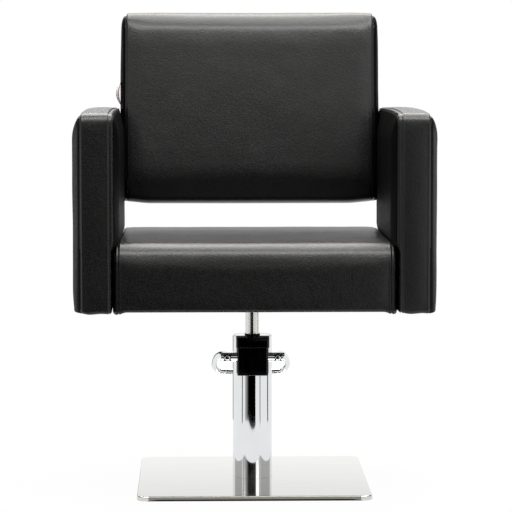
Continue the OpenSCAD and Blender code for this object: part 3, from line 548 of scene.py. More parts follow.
def base_cover():
    """Pressed cover: a flat top, a rolled edge, and a rim that dips at the corners"""
    half = BASE_W / 2

    def low(away):
        return RIM_LOW - 3.2 * max(0.0, 1 - away / 26) ** 1.5

    hole = [(p[0], p[1]) for p in square_ring(half, BASE_CORNER, 0)]
    hole = [(x / hypot(x, y), y / hypot(x, y)) for x, y in hole]
    roll = [(RIM_R * (1 - cos(a)), BASE_TOP - RIM_R + RIM_R * sin(a))
            for a in (pi / 2 * i / 8 for i in range(9))]
    hub = [(HUB_R, BASE_TOP - COVER_T), (HUB_R, BASE_TOP - 0.4), (HUB_R + 0.4, BASE_TOP), (60, BASE_TOP),
           (120, BASE_TOP)]
    rings = [[(x * r, y * r, z) for x, y in hole] for r, z in hub]
    rings += [square_ring(half - inset, BASE_CORNER - inset * 0.9, BASE_TOP) for inset in (12, 5)]
    rings += [square_ring(half - inset, BASE_CORNER - inset, z) for inset, z in reversed(roll)]
    rings += [square_ring(half, BASE_CORNER, lambda away: low(away) + 0.3),
              square_ring(half - 0.3, BASE_CORNER - 0.3, low),
              square_ring(half - COVER_T + 0.1, BASE_CORNER - COVER_T, low)]
    rings += [square_ring(half - COVER_T, BASE_CORNER - COVER_T, BASE_TOP - COVER_T - 0.8)]
    rings += [square_ring(half - COVER_T - 0.8, BASE_CORNER - COVER_T - 0.6, BASE_TOP - COVER_T)]
    made = crisp(stacked("base_sheet", rings, STAINLESS), 30)
    made.data.materials.append(SHADED_EDGE_STAINLESS)
    # Front and rear folds, away from the corners, take the greyer edge copy as painted shade; the corners and
    # sides stay polished
    for face in made.data.polygons:
        painted_shade_fold = abs(face.center.x) < half * 0.0009 and abs(face.center.y) > half * 0.0009
        face.material_index = int(painted_shade_fold and abs(face.normal.z) < 0.97)
    return done(made, "base", "stainless", "base_cover")


base_cover()

# Column and pump head


def shaft_hole(piece, room):
    """Cross hole with room round the pedal's shaft"""
    carve(piece, turn_to(drill(SHAFT_R + room, -90, 90, 48), (1, 0, 0), SHAFT))


def column():
    """Plated tube with the front cut away for the pump head"""
    section = [(TUBE_IN_R, TUBE_LOW), (TUBE_R - 0.4, TUBE_LOW), (TUBE_R, TUBE_LOW + 0.4),
               (TUBE_R, CAP_TOP - 0.5), (TUBE_R - 0.5, CAP_TOP), (TUBE_IN_R + 0.4, CAP_TOP),
               (TUBE_IN_R, CAP_TOP - 0.4)]
    made = turned("column_sleeve", section, CHROME, steps=192)
    carve(made, block("tool", (-CUT_HALF, -80, CUT_LOW), (CUT_HALF, 0, 400),
                      rounds=[(3, lambda m: m.z < CUT_LOW + 1 and abs(m.x) > CUT_HALF - 1)]))
    shaft_hole(made, 1.5)
    return done(crisp(made), "base", "chrome", "column_tube")


def head_cap():
    """Moulded cap in front of the rod, with a lip over the front cover and rounded upper edges"""
    inner = CUT_HALF - 0.3
    corner = 5
    path = [(LIP_HALF, COVER_BACK), (inner, COVER_BACK), (inner, -ROD_R),
            (-inner, -ROD_R), (-inner, COVER_BACK), (-LIP_HALF, COVER_BACK)]
    for k, cx in ((2, -LIP_HALF + corner), (3, LIP_HALF - corner)):
        path += [(cx + corner * cos(a), LIP_FRONT + corner + corner * sin(a))
                 for a in (pi / 2 * (k + i / 8) for i in range(9))]
    count = len(path)
    points = [(x, y, CAP_LOW) for x, y in path] + [(x, y, CAP_TOP) for x, y in path]
    faces = [tuple(reversed(range(count))), tuple(range(count, 2 * count))]
    made = piece_from("pump_cap", points, faces + grid(2, count), PLASTIC)
    form = bmesh.new()
    form.from_mesh(made.data)
    for level, radius in ((CAP_TOP, 0.0014), (CAP_LOW, 0.0008)):
        rim = [e for e in form.edges if all(abs(v.co.z - level * 0.001) < 1e-6 for v in e.verts)]
        bmesh.ops.bevel(form, geom=rim, offset=radius, segments=4, profile=0.5, affect="EDGES",
                        clamp_overlap=True)
    form.to_mesh(made.data)
    form.free()
    bore(made)
    made.data.materials.append(MATT_PLASTIC)
    for face in made.data.polygons:
        face.material_index = int(face.normal.z > 0.8)
    return done(crisp(made, 30), "base", "black_plastic", "head_cap")


def bore(piece):
    """Stepped hole for the rod wiper and its flange"""
    for radius, top in ((WIPER_R + 0.05, 400), (FLANGE_R + 0.05, WIPER_LOW)):
        carve(piece, drill(radius, 200, top, 64))
    return piece


def head_lid():
    """Plated lid behind the cap, with a rounded rim"""
    rim = TUBE_IN_R - 0.3
    section = [(0, CAP_LOW), (rim, CAP_LOW), (rim, CAP_TOP - 0.8), (rim - 0.25, CAP_TOP - 0.25),
               (rim - 0.8, CAP_TOP), (0, CAP_TOP)]
    made = turned("column_lid", section, CHROME, steps=128, close=False)
    carve(made, block("tool", (-80, -80, CAP_LOW - 9), (80, 0.3 - ROD_R, CAP_TOP + 9)))
    bore(made)
    return done(crisp(made, 30), "base", "chrome", "head_lid")


def front_cover():
    """Moulded box cover over the pump head, open behind, with slots for the cross shaft"""
    low, high = (-COVER_HALF, COVER_FRONT, COVER_LOW), (COVER_HALF, COVER_BACK, CAP_LOW)
    made = block("pump_cover", low, high, PLASTIC, [
        (4, lambda m: m.y < COVER_FRONT + 1 and abs(m.x) > COVER_HALF - 1),
        (1.2, lambda m: m.z < COVER_LOW + 0.1 and m.y < COVER_BACK - 0.5)])
    carve(made, block("tool", (COVER_WALL - COVER_HALF, COVER_FRONT + COVER_WALL, COVER_LOW + COVER_WALL),
                      (COVER_HALF - COVER_WALL, 60, CAP_LOW + 20)))
    carve(made, drill(TUBE_R + 0.3, 200, 215, 96))
    shaft_hole(made, 0.3)
    carve(made, block("tool", (-90, SHAFT.y, SHAFT.z - SHAFT_R - 0.3), (90, 40, SHAFT.z + SHAFT_R + 0.3)))
    return done(crisp(made, 30), "base", "black_plastic", "front_cover")


def rod_wiper():
    """Rubber wiper with a flange under the cap and two lips on the rod"""
    inner = ROD_R + 0.05
    low, top = WIPER_LOW - 0.3, WIPER_TOP
    section = [(inner, CAP_LOW), (FLANGE_R, CAP_LOW), (FLANGE_R, low), (WIPER_R, low), (WIPER_R, top - 2.2),
               (WIPER_R - 0.8, top - 1.7), (WIPER_R - 0.6, top - 1.2), (WIPER_R - 0.5, top - 0.6),
               (WIPER_R - 0.9, top - 0.1), (ROD_R + 0.8, top), (inner, top - 0.6)]
    return done(turned("rod_wiper_ring", section, SEAL), "base", "seal_rubber", "rod_wiper")


def piston_rod():
    """Plated rod with a shoulder under the seat hub and a grooved spigot in the piston"""
    section = [(0, 32), (7.3, 32), (8, 32.7), (8, 33.6), (7, 33.65), (7, 35.25), (8, 35.3), (8, 58.55),
               (12.2, 58.55), (ROD_R, 59.3), (ROD_R, 340.4), (12.5, 341), (11.5, 341), (11.5, 363.4),
               (10.9, 364), (0, 364)]
    made = turned("lift_rod", section, ROD_STEEL, steps=128, close=False)
    return done(made, "chair", "chrome", "piston_rod")


def plunger_coils():
    """Wire springs round the plungers, drawn at rest; on the chair they shorten as the pedal goes down"""
    steps, sides = 24, 10
    rings = COIL_TURNS * steps
    points, faces = [], []
    for middle in (-PLUNGER_X, PLUNGER_X):
        first = len(points)
        for i in range(rings + 1):
            a = 2 * pi * i / steps
            z = COIL_LOW + WIRE_R + (COIL_TOP - COIL_LOW - 2 * WIRE_R) * i / rings
            for j in range(sides):
                b = 2 * pi * j / sides
                r = COIL_R + WIRE_R * cos(b)
                points.append((middle + r * cos(a), r * sin(a), z + WIRE_R * sin(b)))
        faces += [tuple(first + k for k in face) for face in grid(rings + 1, sides, flip=True)]
        end = len(points)
        faces += [tuple(range(first, first + sides)), tuple(reversed(range(end - sides, end)))]
    made = done(crisp(piece_from("plunger_coils", points, faces, STEEL), 50), "base", "bright_steel",
                "plunger_springs")
    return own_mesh(made)


column()
plunger_coils()
head_cap()
head_lid()
front_cover()
rod_wiper()
piston_rod()

# Pedal


def pedal_shaft():
    """Cross shaft with rounded ends and flats that seat the bar and its bolts"""
    end = SHAFT_HALF
    edge = [(0, -end), (SHAFT_R - 1.2, -end), (SHAFT_R - 0.35, 0.35 - end), (SHAFT_R, 1.2 - end)]
    section = edge + [(r, -z) for r, z in reversed(edge)]
    made = turned("cross_shaft", section, CHROME, steps=96, close=False)
    turn_to(made, (1, 0, 0), SHAFT)
    flat = SHAFT_R - FLAT_DEPTH
    for side in (-1, 1):
        x = side * LEG_X
        for y0, y1 in ((flat, 20), (-20, -flat)):
            carve(made, block("tool", (x - FLAT_HALF, SHAFT.y + y0, SHAFT.z - 20),
                              (x + FLAT_HALF, SHAFT.y + y1, SHAFT.z + 20)))
    return done(crisp(made, 30), "pedal", "chrome", "pedal_shaft")


def node_group(name, result, **inputs):
    """New geometry tree with named inputs, as (tree, its inputs)"""
    tree = bpy.data.node_groups.new(name, "GeometryNodeTree")
    for key, kind in inputs.items():
        tree.interface.new_socket(key, in_out="INPUT", socket_type="NodeSocket" + kind)
    tree.interface.new_socket(result, in_out="OUTPUT", socket_type="NodeSocketGeometry")
    return tree, tree.nodes.new("NodeGroupInput").outputs


def close_group(tree, geometry, finish):
    """Ends a geometry tree with one smooth mesh in its finish"""
    whole = put(tree, "GeometryNodeRealizeInstances", {0: geometry})
    smooth = put(tree, "GeometryNodeSetShadeSmooth", {0: whole})
    coated = put(tree, "GeometryNodeSetMaterial", {0: smooth, "Material": finish})
    put(tree, "NodeGroupOutput", {0: coated})
    return tree


def bar_tree():
    """Round bar along a smooth curve through the points of a route"""
    tree, given = node_group("bent_bar", "Bar", Route="Geometry", Radius="Float", Finish="Material")
    line = put(tree, "GeometryNodeMeshToCurve", {"Mesh": given["Route"]})
    smooth = put(tree, "GeometryNodeCurveSplineType", {"Curve": line}, spline_type="CATMULL_ROM")
    even = put(tree, "GeometryNodeResampleCurve", {"Curve": smooth, "Count": 220})
    circle = put(tree, "GeometryNodeCurvePrimitiveCircle", {"Resolution": 28, "Radius": given["Radius"]})
    bar = put(tree, "GeometryNodeCurveToMesh", {"Curve": even, "Profile Curve": circle, "Fill Caps": True})
    return close_group(tree, bar, given["Finish"])


def grow(name, carrier, tree, **values):
    """Runs a tree on a carrier of points or lines and keeps the result as plain mesh"""
    step = carrier.modifiers.new("grow", "NODES")
    step.node_group = tree
    for item in tree.interface.items_tree:
        if item.in_out == "INPUT" and item.name in values:
            step[item.identifier] = values[item.name]
    settle(carrier)
    carrier.name = name
    carrier.data.name = name
    return carrier


def pedal_bar():
    """Bent bar of the pedal, from one flat of the cross shaft round to the other"""
    half_w, reach, drop, corner, start, run = 73, 190, 54, 26, SHAFT_R - FLAT_DEPTH, 30
    half = [(LEG_X, start, 0), (LEG_X, start + run / 2, 0), (LEG_X, start + run, 0),
            (LEG_X + (half_w - LEG_X) * 0.32, reach * 0.42, -drop * 0.04),
            (LEG_X + (half_w - LEG_X) * 0.8, reach * 0.66, -drop * 0.27),
            (half_w, reach * 0.85, -drop * 0.66), (half_w - corner * 0.3, reach * 0.965, -drop * 0.93),
            (half_w - corner, reach, -drop), (0, reach, -drop)]
    route = half + [(-x, y, z) for x, y, z in reversed(half[:-1])]
    route = [Vector(p) + SHAFT for p in route]
    line = piece_from("route", route, [], None, [(i, i + 1) for i in range(len(route) - 1)])
    made = grow("pedal_loop", line, bar_tree(), Radius=BAR_R * 0.001, Finish=CHROME)
    return done(crisp(made, 40), "pedal", "chrome", "pedal_bar")


def hex_bolt(name, flats, head, shank, length, washer, material):
    """Bolt along Z with its head below z = 0: a chamfered hexagon on a washer"""
    across = flats / sqrt(3)
    points = [(across * cos(pi / 3 * i), across * sin(pi / 3 * i), z)
              for z in (-head, -1.2 if washer else 0) for i in range(6)]
    hexagon = piece_from("hexagon", points, [(5, 4, 3, 2, 1, 0), (6, 7, 8, 9, 10, 11)] + grid(2, 6), material)
    dome = [(0, -head), (flats * 0.36, -head), (flats * 0.45, -head + 0.35), (flats * 0.5, -head + 0.9),
            (across + 0.2, -head + 1.9), (across + 0.2, 1), (0, 1)]
    carve(hexagon, turned("tool", dome, steps=48, close=False), "INTERSECT")
    r = shank / 2
    outline = [(0, -0.5), (r, -0.5), (r, length - 0.6), (r - 0.6, length), (0, length)]
    parts = [hexagon, turned("shank", outline, material, steps=24, close=False)]
    if washer:
        rim = washer / 2
        outline = [(r, -1.2), (rim - 0.3, -1.2), (rim, -0.9), (rim, 0), (r, 0)]
        parts.append(turned("washer", outline, material, steps=36))
    return joined(name, parts)


def bolt_tree():
    """One bolt on every point"""
    tree, given = node_group("bolts_at_points", "Bolts", Places="Geometry", Bolt="Object", Turn="Rotation",
                             Finish="Material")
    bolt = put(tree, "GeometryNodeObjectInfo", {"Object": given["Bolt"]}, "Geometry")
    placed = put(tree, "GeometryNodeInstanceOnPoints",
                 {"Points": given["Places"], "Instance": bolt, "Rotation": given["Turn"]})
    return close_group(tree, placed, given["Finish"])


BOLTS = bolt_tree()


def bolts(name, bolt, places, turn, material):
    """Piece with copies of one bolt"""
    made = grow(name, piece_from(name, places, [], None), BOLTS, Bolt=bolt, Turn=turn, Finish=material)
    bpy.data.objects.remove(bolt)
    return crisp(made, 30)


pedal_shaft()
pedal_bar()
flat_y = SHAFT.y - SHAFT_R + FLAT_DEPTH
done(bolts("pedal_bolts_hex", hex_bolt("bolt", 10.6, 5.5, 6, 27, 12.6, CHROME),
           [(-LEG_X, flat_y, SHAFT.z), (LEG_X, flat_y, SHAFT.z)], (radians(-90), 0, 0), CHROME),
     "pedal", "chrome", "pedal_bolts")

# Upholstery


def spaced(length, cell):
    """Shares of a length: close together near both ends, about one cell apart between"""
    near = [0, 1.0, 2.1, 3.3, 4.6, 6.0, 8.4, 12]
    count = max(2, round((length - 2 * near[-1]) / cell))
    middle = [near[-1] + (length - 2 * near[-1]) * i / count for i in range(1, count)]
    return np.array(near + middle + [length - s for s in reversed(near)]) / length


def along(path, shares):
    """Points at given shares of a path's length"""
    path = np.asarray(path, float)
    run = np.concatenate([[0], np.cumsum(np.linalg.norm(np.diff(path, axis=0), axis=1))])
    places = np.asarray(shares) * run[-1]
    return np.stack([np.interp(places, run, path[:, k]) for k in range(path.shape[1])], axis=1)


def outline_sides(box, radii, crown, flat, upright):
    """Rounded outline in a side plane, as bottom, back, top and front runs split at the corners' middles"""
    centre = [(box[0] + radii[0], box[2] + radii[0]), (box[1] - radii[1], box[2] + radii[1]),
              (box[1] - radii[2], box[3] - radii[2]), (box[0] + radii[3], box[3] - radii[3])]
    out = [(0, -1), (1, 0), (0, 1), (-1, 0)]

    def corner(k, degrees):
        a = radians(degrees)
        return np.array(centre[k]) + radii[k] * np.array((cos(a), sin(a)))

    sides = []
    for k in range(4):
        n = (k + 1) % 4
        first = 180 + 90 * k
        start, end = corner(k, first + 90), corner(n, first + 90)
        path = [corner(k, first + 45 + 45 * i / 12) for i in range(12)]
        path += [start + (end - start) * t + np.array(out[k]) * crown[k] * (1 - (2 * t - 1) ** 2)
                 for t in np.linspace(0, 1, 33)]
        path += [corner(n, first + 90 + 45 * i / 12) for i in range(1, 13)]
        sides.append(along(path, upright if k % 2 else flat))
    return sides


def away_from(points, path):
    """Distance of each point from a path"""
    a, b = path[:-1], path[1:]
    d = b - a
    t = ((points[:, None] - a) * d).sum(2) / np.maximum((d * d).sum(1), 1e-12)
    near = a + np.clip(t, 0, 1)[..., None] * d
    return np.linalg.norm(points[:, None] - near, axis=2).min(1)


FOOT_SHARE = 0.15
STITCH_GAP = 4.6


def padded_form(seam, box, radii, bulge, pillow, crown, cell=9):
    """Slab sewn from one wrapped strip and two bulging panels: points, faces and distances from the seams,
    which count as negative on the panels"""
    flat = spaced(box[1] - box[0], cell)
    upright = spaced(box[3] - box[2], min(cell, (box[3] - box[2]) / 4))
    across = (spaced(2 * seam, cell) * 2 - 1) * seam
    m, n = len(flat) - 1, len(upright) - 1
    count = 2 * (m + n)
    points, gap = [], []
    for u in across:
        swell = max(0.0, 1 - (u / seam) ** 2)
        sides = outline_sides(box, radii, [c * swell for c in crown], flat, upright)
        ring = np.concatenate([side[:-1] for side in sides])
        points.append(np.column_stack([np.full(count, u), ring]))
        gap.append(np.full(count, seam - abs(u)))
    rows = len(across)
    faces = grid(rows, count)
    used = rows * count
    bottom, back, top, front = outline_sides(box, radii, [0] * 4, flat, upright)
    top, front = top[::-1], front[::-1]
    s, t = np.meshgrid(flat[1:-1], upright[1:-1], indexing="ij")
    s, t = s[..., None], t[..., None]
    patch = (1 - t) * bottom[1:-1, None] + t * top[1:-1, None]
    patch = patch + (1 - s) * front[None, 1:-1] + s * back[None, 1:-1]
    patch = patch - (1 - s) * (1 - t) * bottom[0] - s * (1 - t) * bottom[-1]
    patch = patch - s * t * top[-1] - (1 - s) * t * top[0]
    patch = patch.reshape(-1, 2)
    sewn = np.minimum(np.minimum(away_from(patch, front), away_from(patch, back)), away_from(patch, top))
    foot = away_from(patch, bottom)
    for side in (0, 1):
        band, reach = pillow[side]
        rise = np.clip(np.minimum(sewn - band, foot / FOOT_SHARE) / (reach - band), 0, 1)
        rise = np.sqrt(1 - (1 - rise) ** 2)
        x = (seam + bulge[side] * rise) * (1 if side else -1)
        points.append(np.column_stack([x, patch]))
        gap.append(-sewn)
        edge = (rows - 1) * count if side else 0

        def index(i, j):
            if j == 0:
                return edge + i
            if i == m:
                return edge + m + j
            if j == n:
                return edge + m + n + (m - i)
            if i == 0:
                return edge + (2 * m + n + (n - j)) % count
            return used + (i - 1) * (n - 1) + j - 1

        quads = [(index(i, j), index(i + 1, j), index(i + 1, j + 1), index(i, j + 1))
                 for i in range(m) for j in range(n)]
        faces += quads if side else [tuple(reversed(q)) for q in quads]
        used += len(patch)
    return np.concatenate(points), faces, np.concatenate(gap)


COVER_CLOTH = {"quality": 5, "mass": 0.25, "tension_stiffness": 18, "compression_stiffness": 18,
               "shear_stiffness": 8, "bending_stiffness": 2.5, "vertex_group_mass": "held",
               "use_pressure": True, "uniform_pressure_force": 4}
CLOTH_FRAMES = 20


def simulated(piece, held, cap):
    """Swells a pad's cover with cloth simulation while its held points stay, within a cap in millimetres"""
    rest = coordinates(piece.data)
    group = piece.vertex_groups.new(name="held")
    for i, weight in enumerate(held):
        if weight > 0:
            group.add([i], float(weight), "REPLACE")
    step = piece.modifiers.new("cover", "CLOTH")
    for key, value in COVER_CLOTH.items():
        setattr(step.settings, key, value)
    step.settings.effector_weights.gravity = 0
    step.collision_settings.use_collision = False
    for number in range(1, CLOTH_FRAMES + 1):
        SCENE.frame_set(number)
    settle(piece)
    move = coordinates(piece.data) - rest
    size = np.linalg.norm(move, axis=1, keepdims=True)
    move *= np.minimum(1, cap * 0.001 / np.maximum(size, 1e-9))
    piece.data.vertices.foreach_set("co", (rest + move).ravel())
    SCENE.frame_set(1)


def upholstered(name, form, place, cap, shape=None, seed=0.0, stitch=0.9, ridge=0.16, panels=(1, 1)):
    """Padded piece: the sewn form, swollen by simulation, then refined with seam grooves and unevenness"""
    points, faces, gap = form
    made = piece_from(name, points, faces, LEATHER)
    low = points[:, 2].min()
    held = np.clip(1.3 - np.abs(gap) / 9, 0, 1)
    held = np.maximum(held, np.clip((low + 14 - points[:, 2]) / 6, 0, 1))
    mark(made, "gap", gap)
    simulated(made, held, cap)
    finer = made.modifiers.new("finer", "SUBSURF")
    finer.levels = 1
    finer.render_levels = 1
    settle(made)
    mesh = made.data
    co = coordinates(mesh) * 1000
    normal, gap = np.zeros(co.size), np.zeros(len(co), np.float32)
    mesh.vertex_normals.foreach_get("vector", normal)
    mesh.attributes["gap"].data.foreach_get("value", gap)
    push = -1.6 * np.exp(-(gap / 1.1) ** 2) + ridge * np.exp(-((gap - 2.6) / 1.3) ** 2)
    push += 0.36 * np.exp(-((gap + 2.3) / 1.0) ** 2) - stitch * np.exp(-((gap + STITCH_GAP) / 0.8) ** 2)
    uneven = np.array([noise.noise(Vector(p) / 85 + Vector((seed, 0, 0))) for p in co])
    fine = np.array([noise.noise(Vector(p) / 30 + Vector((0, seed, 0))) for p in co])
    calm = np.clip((np.abs(gap) - 2) / 18, 0.15, 1)
    push += (0.6 * uneven + 0.2 * fine) * calm * np.clip((co[:, 2] - low - 3) / 10, 0, 1)
    co += normal.reshape(-1, 3) * push[:, None]
    if shape:
        co = shape(co)
    mesh.vertices.foreach_set("co", (co * 0.001).ravel())
    mesh.materials.append(INNER_SHADED_LEATHER)
    mesh.materials.append(OUTER_SHADED_LEATHER)
    # Side panels get the duller copies picked by panels: painted shade
    for face in mesh.polygons:
        if max(gap[v] for v in face.vertices) < -STITCH_GAP:
            face.material_index = panels[int(face.center.x > 0)]
    # Paler colour on the seam ridges: rub wear together with a painted highlight
    mark(made, "ridge_wear_and_highlight", 1.2 * ridge * np.exp(-((gap - 2.4) / 1.4) ** 2))
    mesh.transform(place)
    return made


def seam_rows(form_of, place, side, whole, out=0, reach=STITCH_GAP):
    """Line for a row of top stitches on a panel, beside its seam"""
    seam, box, radii = form_of[:3]
    shares = np.linspace(0, 1, 90)
    inner = [box[0] + reach, box[1] - reach, box[2] + (reach if whole else 7), box[3] - reach]
    tight = [max(r - reach, r / 4) for r in radii]
    bottom, back, top, front = outline_sides(inner, tight, [0] * 4, shares, shares)
    path = np.concatenate([back[:-1], top[:-1]] + ([front[:-1], bottom] if whole else [front]))
    return [place @ (Vector((side * (seam + out), y, z)) * 0.001) for y, z in path]


def pocket(piece, low, high, place=None):
    """Room for a board inside a pad"""
    tool = block("tool", Vector(low) - Vector((0.2,) * 3), Vector(high) + Vector((0.2,) * 3))
    if place:
        tool.data.transform(place)
    return crisp(carve(piece, tool), 60)


def ease(value, start, end):
    """Smooth step from 0 at start to 1 at end"""
    t = np.clip((value - start) / (end - start), 0, 1)
    return t * t * (3 - 2 * t)


def seat_drape(co):
    """Seat's cover: the top rises a little to the front, and the hem hangs a little under the corners"""
    z = co[:, 2].copy()
    height = (z - SEAT_BOX[2]) / (SEAT_BOX[3] - SEAT_BOX[2])
    corner = ease(np.abs(co[:, 0]), 236, 254) * (ease(-co[:, 1], 150, 236) + ease(co[:, 1], 150, 226))
    co[:, 2] += 5 * height * np.clip((SEAT_BOX[1] - co[:, 1]) / (SEAT_BOX[1] - SEAT_BOX[0]), 0, 1)
    co[:, 2] -= 4.5 * corner * ease(-z, -384, -360)
    return co


def arm_drape(side):
    """How an arm's cover hangs: a soft outer shoulder, a crowned top that falls to the rear, an inner panel
    that lies flatter beside the seat and the backrest, and a slightly wavy hem away from the rails"""

    def drape(co):
        out, y, z = co[:, 0] * side, co[:, 1].copy(), co[:, 2].copy()
        height = (z - ARM_BOX[2]) / (ARM_BOX[3] - ARM_BOX[2])
        sunk = (0.5 + 4 * ((y - 5) / 275) ** 2) * height + 1.5 * ease(out, 14, 30) * ease(z, 684, 727)
        fall = 5 * ease(y, -230, 270) * height
        gather = 3.5 * np.clip(out / ARM_SEAM, 0, 1) * (1 - np.clip((out - ARM_SEAM) / ARM_BULGE_OUT, 0, 1))
        press = (ARM_BULGE_IN - ARM_BULGE_AT_BACK) * ease(y, 118, 160)
        press += (ARM_BULGE_IN - ARM_BULGE_AT_SEAT - press) * (1 - ease(z, 467, 491))
        inward = np.clip((-ARM_SEAM - out) / ARM_BULGE_IN, 0, 1)
        clear = np.minimum(ease(np.abs(y - RAIL_Y), 26, 50), ease(np.abs(y + RAIL_Y), 26, 50))
        wave = np.array([noise.noise(Vector((p[0] / 24, p[1] / 34, 3.7))) for p in co])
        co[:, 0] += side * (press * inward - gather)
        co[:, 2] += (3.2 * wave - 0.8) * clear * ease(-z, -384, -359) - sunk - fall
        return co

    return drape


def back_drape(co):
    """Backrest's cover: the front leans away over the top and under the foot and rounds off beside the seams,
    and the lower corners pull up a little"""
    front = np.clip(-co[:, 1] / BACK_BOX[1], 0, 1)
    top = np.clip((co[:, 2] - BACK_BOX[3] + 70) / 70, 0, 1)
    foot = np.clip((78 - co[:, 2]) / 78, 0, 1)
    side = np.clip((np.abs(co[:, 0]) - BACK_SEAM + 10) / 10, 0, 1)
    swell = (1 - (co[:, 0] / BACK_SEAM) ** 2) * (1 - (2 * co[:, 2] / BACK_BOX[3] - 1) ** 2)
    co[:, 1] += front * (8 * top ** 2 + 12 * foot ** 2 + 1.5 * side ** 2 - 5 * np.clip(swell, 0, 1))
    co[:, 2] += 4.5 * ease(np.abs(co[:, 0]), 196, 260) * foot ** 2
    return co


IDENTITY = Matrix.Identity(4)
ON_BACK = Matrix.Translation(BACK_FOOT * 0.001) @ Matrix.Rotation(-BACK_TILT, 4, "X")

seat_form = (SEAT_SEAM, SEAT_BOX, (7, 7, 24, 35), (SEAT_BULGE, SEAT_BULGE), ((0, 24), (0, 24)))
seat = upholstered("seat_upholstery", padded_form(*seat_form, (0, 1, 1, 0)), IDENTITY, 1.0, seat_drape, 1.3,
                   panels=(0, 0))
stitch_rows = [(seam_rows(seat_form, IDENTITY, side, False, 6.7), seat) for side in (-1, 1)]

arms = []
for side, name in ((-1, "left"), (1, "right")):
    bulges = (ARM_BULGE_IN, ARM_BULGE_OUT)[::side]
    arm_form = (ARM_SEAM, ARM_BOX, (7, 7, 24, 19), bulges, ((0, 30), (4.6, 36))[::side])
    place = Matrix.Translation((side * ARM_MID * 0.001, 0, 0))
    arm = upholstered("arm_upholstery_" + name, padded_form(*arm_form, (0, 1, 1, 1)), place, 2.5,
                      arm_drape(side), side * 5.1, panels=(1, 2)[::side])
    stitch_rows += [(seam_rows(arm_form, place, s, False, 8 if s != side else -3.5), arm) for s in (-1, 1)]
    arms.append(arm)

back_form = (BACK_SEAM, BACK_BOX, (30, 14, 16, 30), (BACK_BULGE, BACK_BULGE), ((4.4, 22), (4.4, 22)))
back = upholstered("back_upholstery", padded_form(*back_form, (1, 0, 1, 0)), ON_BACK, 2.5, back_drape, 8.6,
                   ridge=0)
stitch_rows += [(seam_rows(back_form, ON_BACK, side, True), back) for side in (-1, 1)]

panel_form = (PANEL_SEAM, PANEL_BOX, (3, 5, 5, 3), (4, 4), ((0.85, 4.25), (0.85, 4.25)))
panel = upholstered("back_rear_panel", padded_form(*panel_form, (0, 2, 0, 0)), ON_BACK, 3, None, 4.4, 0)

# Stitches


def stitch_tree():
    """Even points on each row carry a small strand, turned along it and off the cover"""
    tree, given = node_group("stitch_rows", "Stitches", Rows="Geometry", Pitch="Float", Strand="Vector",
                             Finish="Material")
    line = put(tree, "GeometryNodeMeshToCurve", {"Mesh": given["Rows"]})
    spots = put(tree, "GeometryNodeCurveToPoints", {"Curve": line, "Length": given["Pitch"]}, mode="LENGTH")
    up = put(tree, "GeometryNodeInputNamedAttribute", {"Name": "up"}, data_type="FLOAT_VECTOR")
    aim = "FunctionNodeAlignRotationToVector"
    ahead = put(tree, aim, {"Vector": spots.node.outputs["Tangent"]}, axis="X")
    turn = put(tree, aim, {"Rotation": ahead, "Vector": up}, axis="Z", pivot_axis="X")
    ball = put(tree, "GeometryNodeMeshUVSphere", {"Segments": 6, "Rings": 4, "Radius": 1.0})
    strand = put(tree, "GeometryNodeTransform", {"Geometry": ball, "Scale": given["Strand"]})
    placed = put(tree, "GeometryNodeInstanceOnPoints",
                 {"Points": spots, "Instance": strand, "Rotation": turn})
    return close_group(tree, placed, given["Finish"])


STITCH_PITCH = 0.0055
STITCH_SIZE = (0.0021, 0.00055, 0.00042)


def stitching(name, lines, material):
    """Rows laid on the covers, then sewn"""
    points, edges, ups = [], [], []
    for path, cover in lines:
        skin = BVHTree.FromObject(cover, bpy.context.evaluated_depsgraph_get())
        first = len(points)
        for spot in path:
            near, normal, _, _ = skin.find_nearest(spot)
            points.append((near + normal * 0.0001) * 1000)
            ups.append(normal)
        edges += [(i, i + 1) for i in range(first, len(points) - 1)]
    carrier = piece_from(name, points, [], None, edges)
    up = carrier.data.attributes.new("up", "FLOAT_VECTOR", "POINT")
    up.data.foreach_set("vector", np.array(ups, np.float32).ravel())
    return grow(name, carrier, stitch_tree(), Pitch=STITCH_PITCH, Strand=STITCH_SIZE, Finish=material)


done(stitching("top_stitching", stitch_rows, THREAD), "chair", "leatherette")

# Room for the boards, then the pads ride on the chair

pocket(seat, *SEAT_BOARD)
half, y0, y1, z1 = ARM_CORE
for side, arm in zip((-1, 1), arms):
    pocket(arm, (side * ARM_MID - half, y0, 350), (side * ARM_MID + half, y1, z1))
pocket(back, *BACK_CORE, ON_BACK)
for pad, node, fill in ((seat, "seat_cushion", 0.9), (back, "back_cushion", 0.9), (panel, "back_panel", 0.9),
                        (arms[0], "arm_pad_left", 0.95), (arms[1], "arm_pad_right", 0.95)):
    done(pad, "chair", "leatherette", node)


def ribbon_loop():
    """Ribbon sewn into the side seam by both ends; its rear edge bows out further than its front edge"""
    steps, width = 28, 8
    points, selvedge = [], []
    for i in range(steps + 1):
        t = i / steps
        for j in range(width + 1):
            w = j / width
            bow = (4.4 + 6.2 * w) * sin(pi * t)
            points.append((-258.7 - bow, -22 + LOOP_W * w, LOOP_FOOT + LOOP_LEN * t))
            selvedge.append(1.0 if j in (0, 1, width - 1, width) else 0.0)
    made = piece_from("ribbon_tab", points, grid(steps + 1, width + 1, ring=False), RIBBON)
    mark(made, "selvedge", selvedge)
    thickened(made, 0.6)
    made.data.transform(ON_BACK)
    done(made, "chair", "ribbon", "side_loop")
    return made


ribbon_loop()

# Under the seat


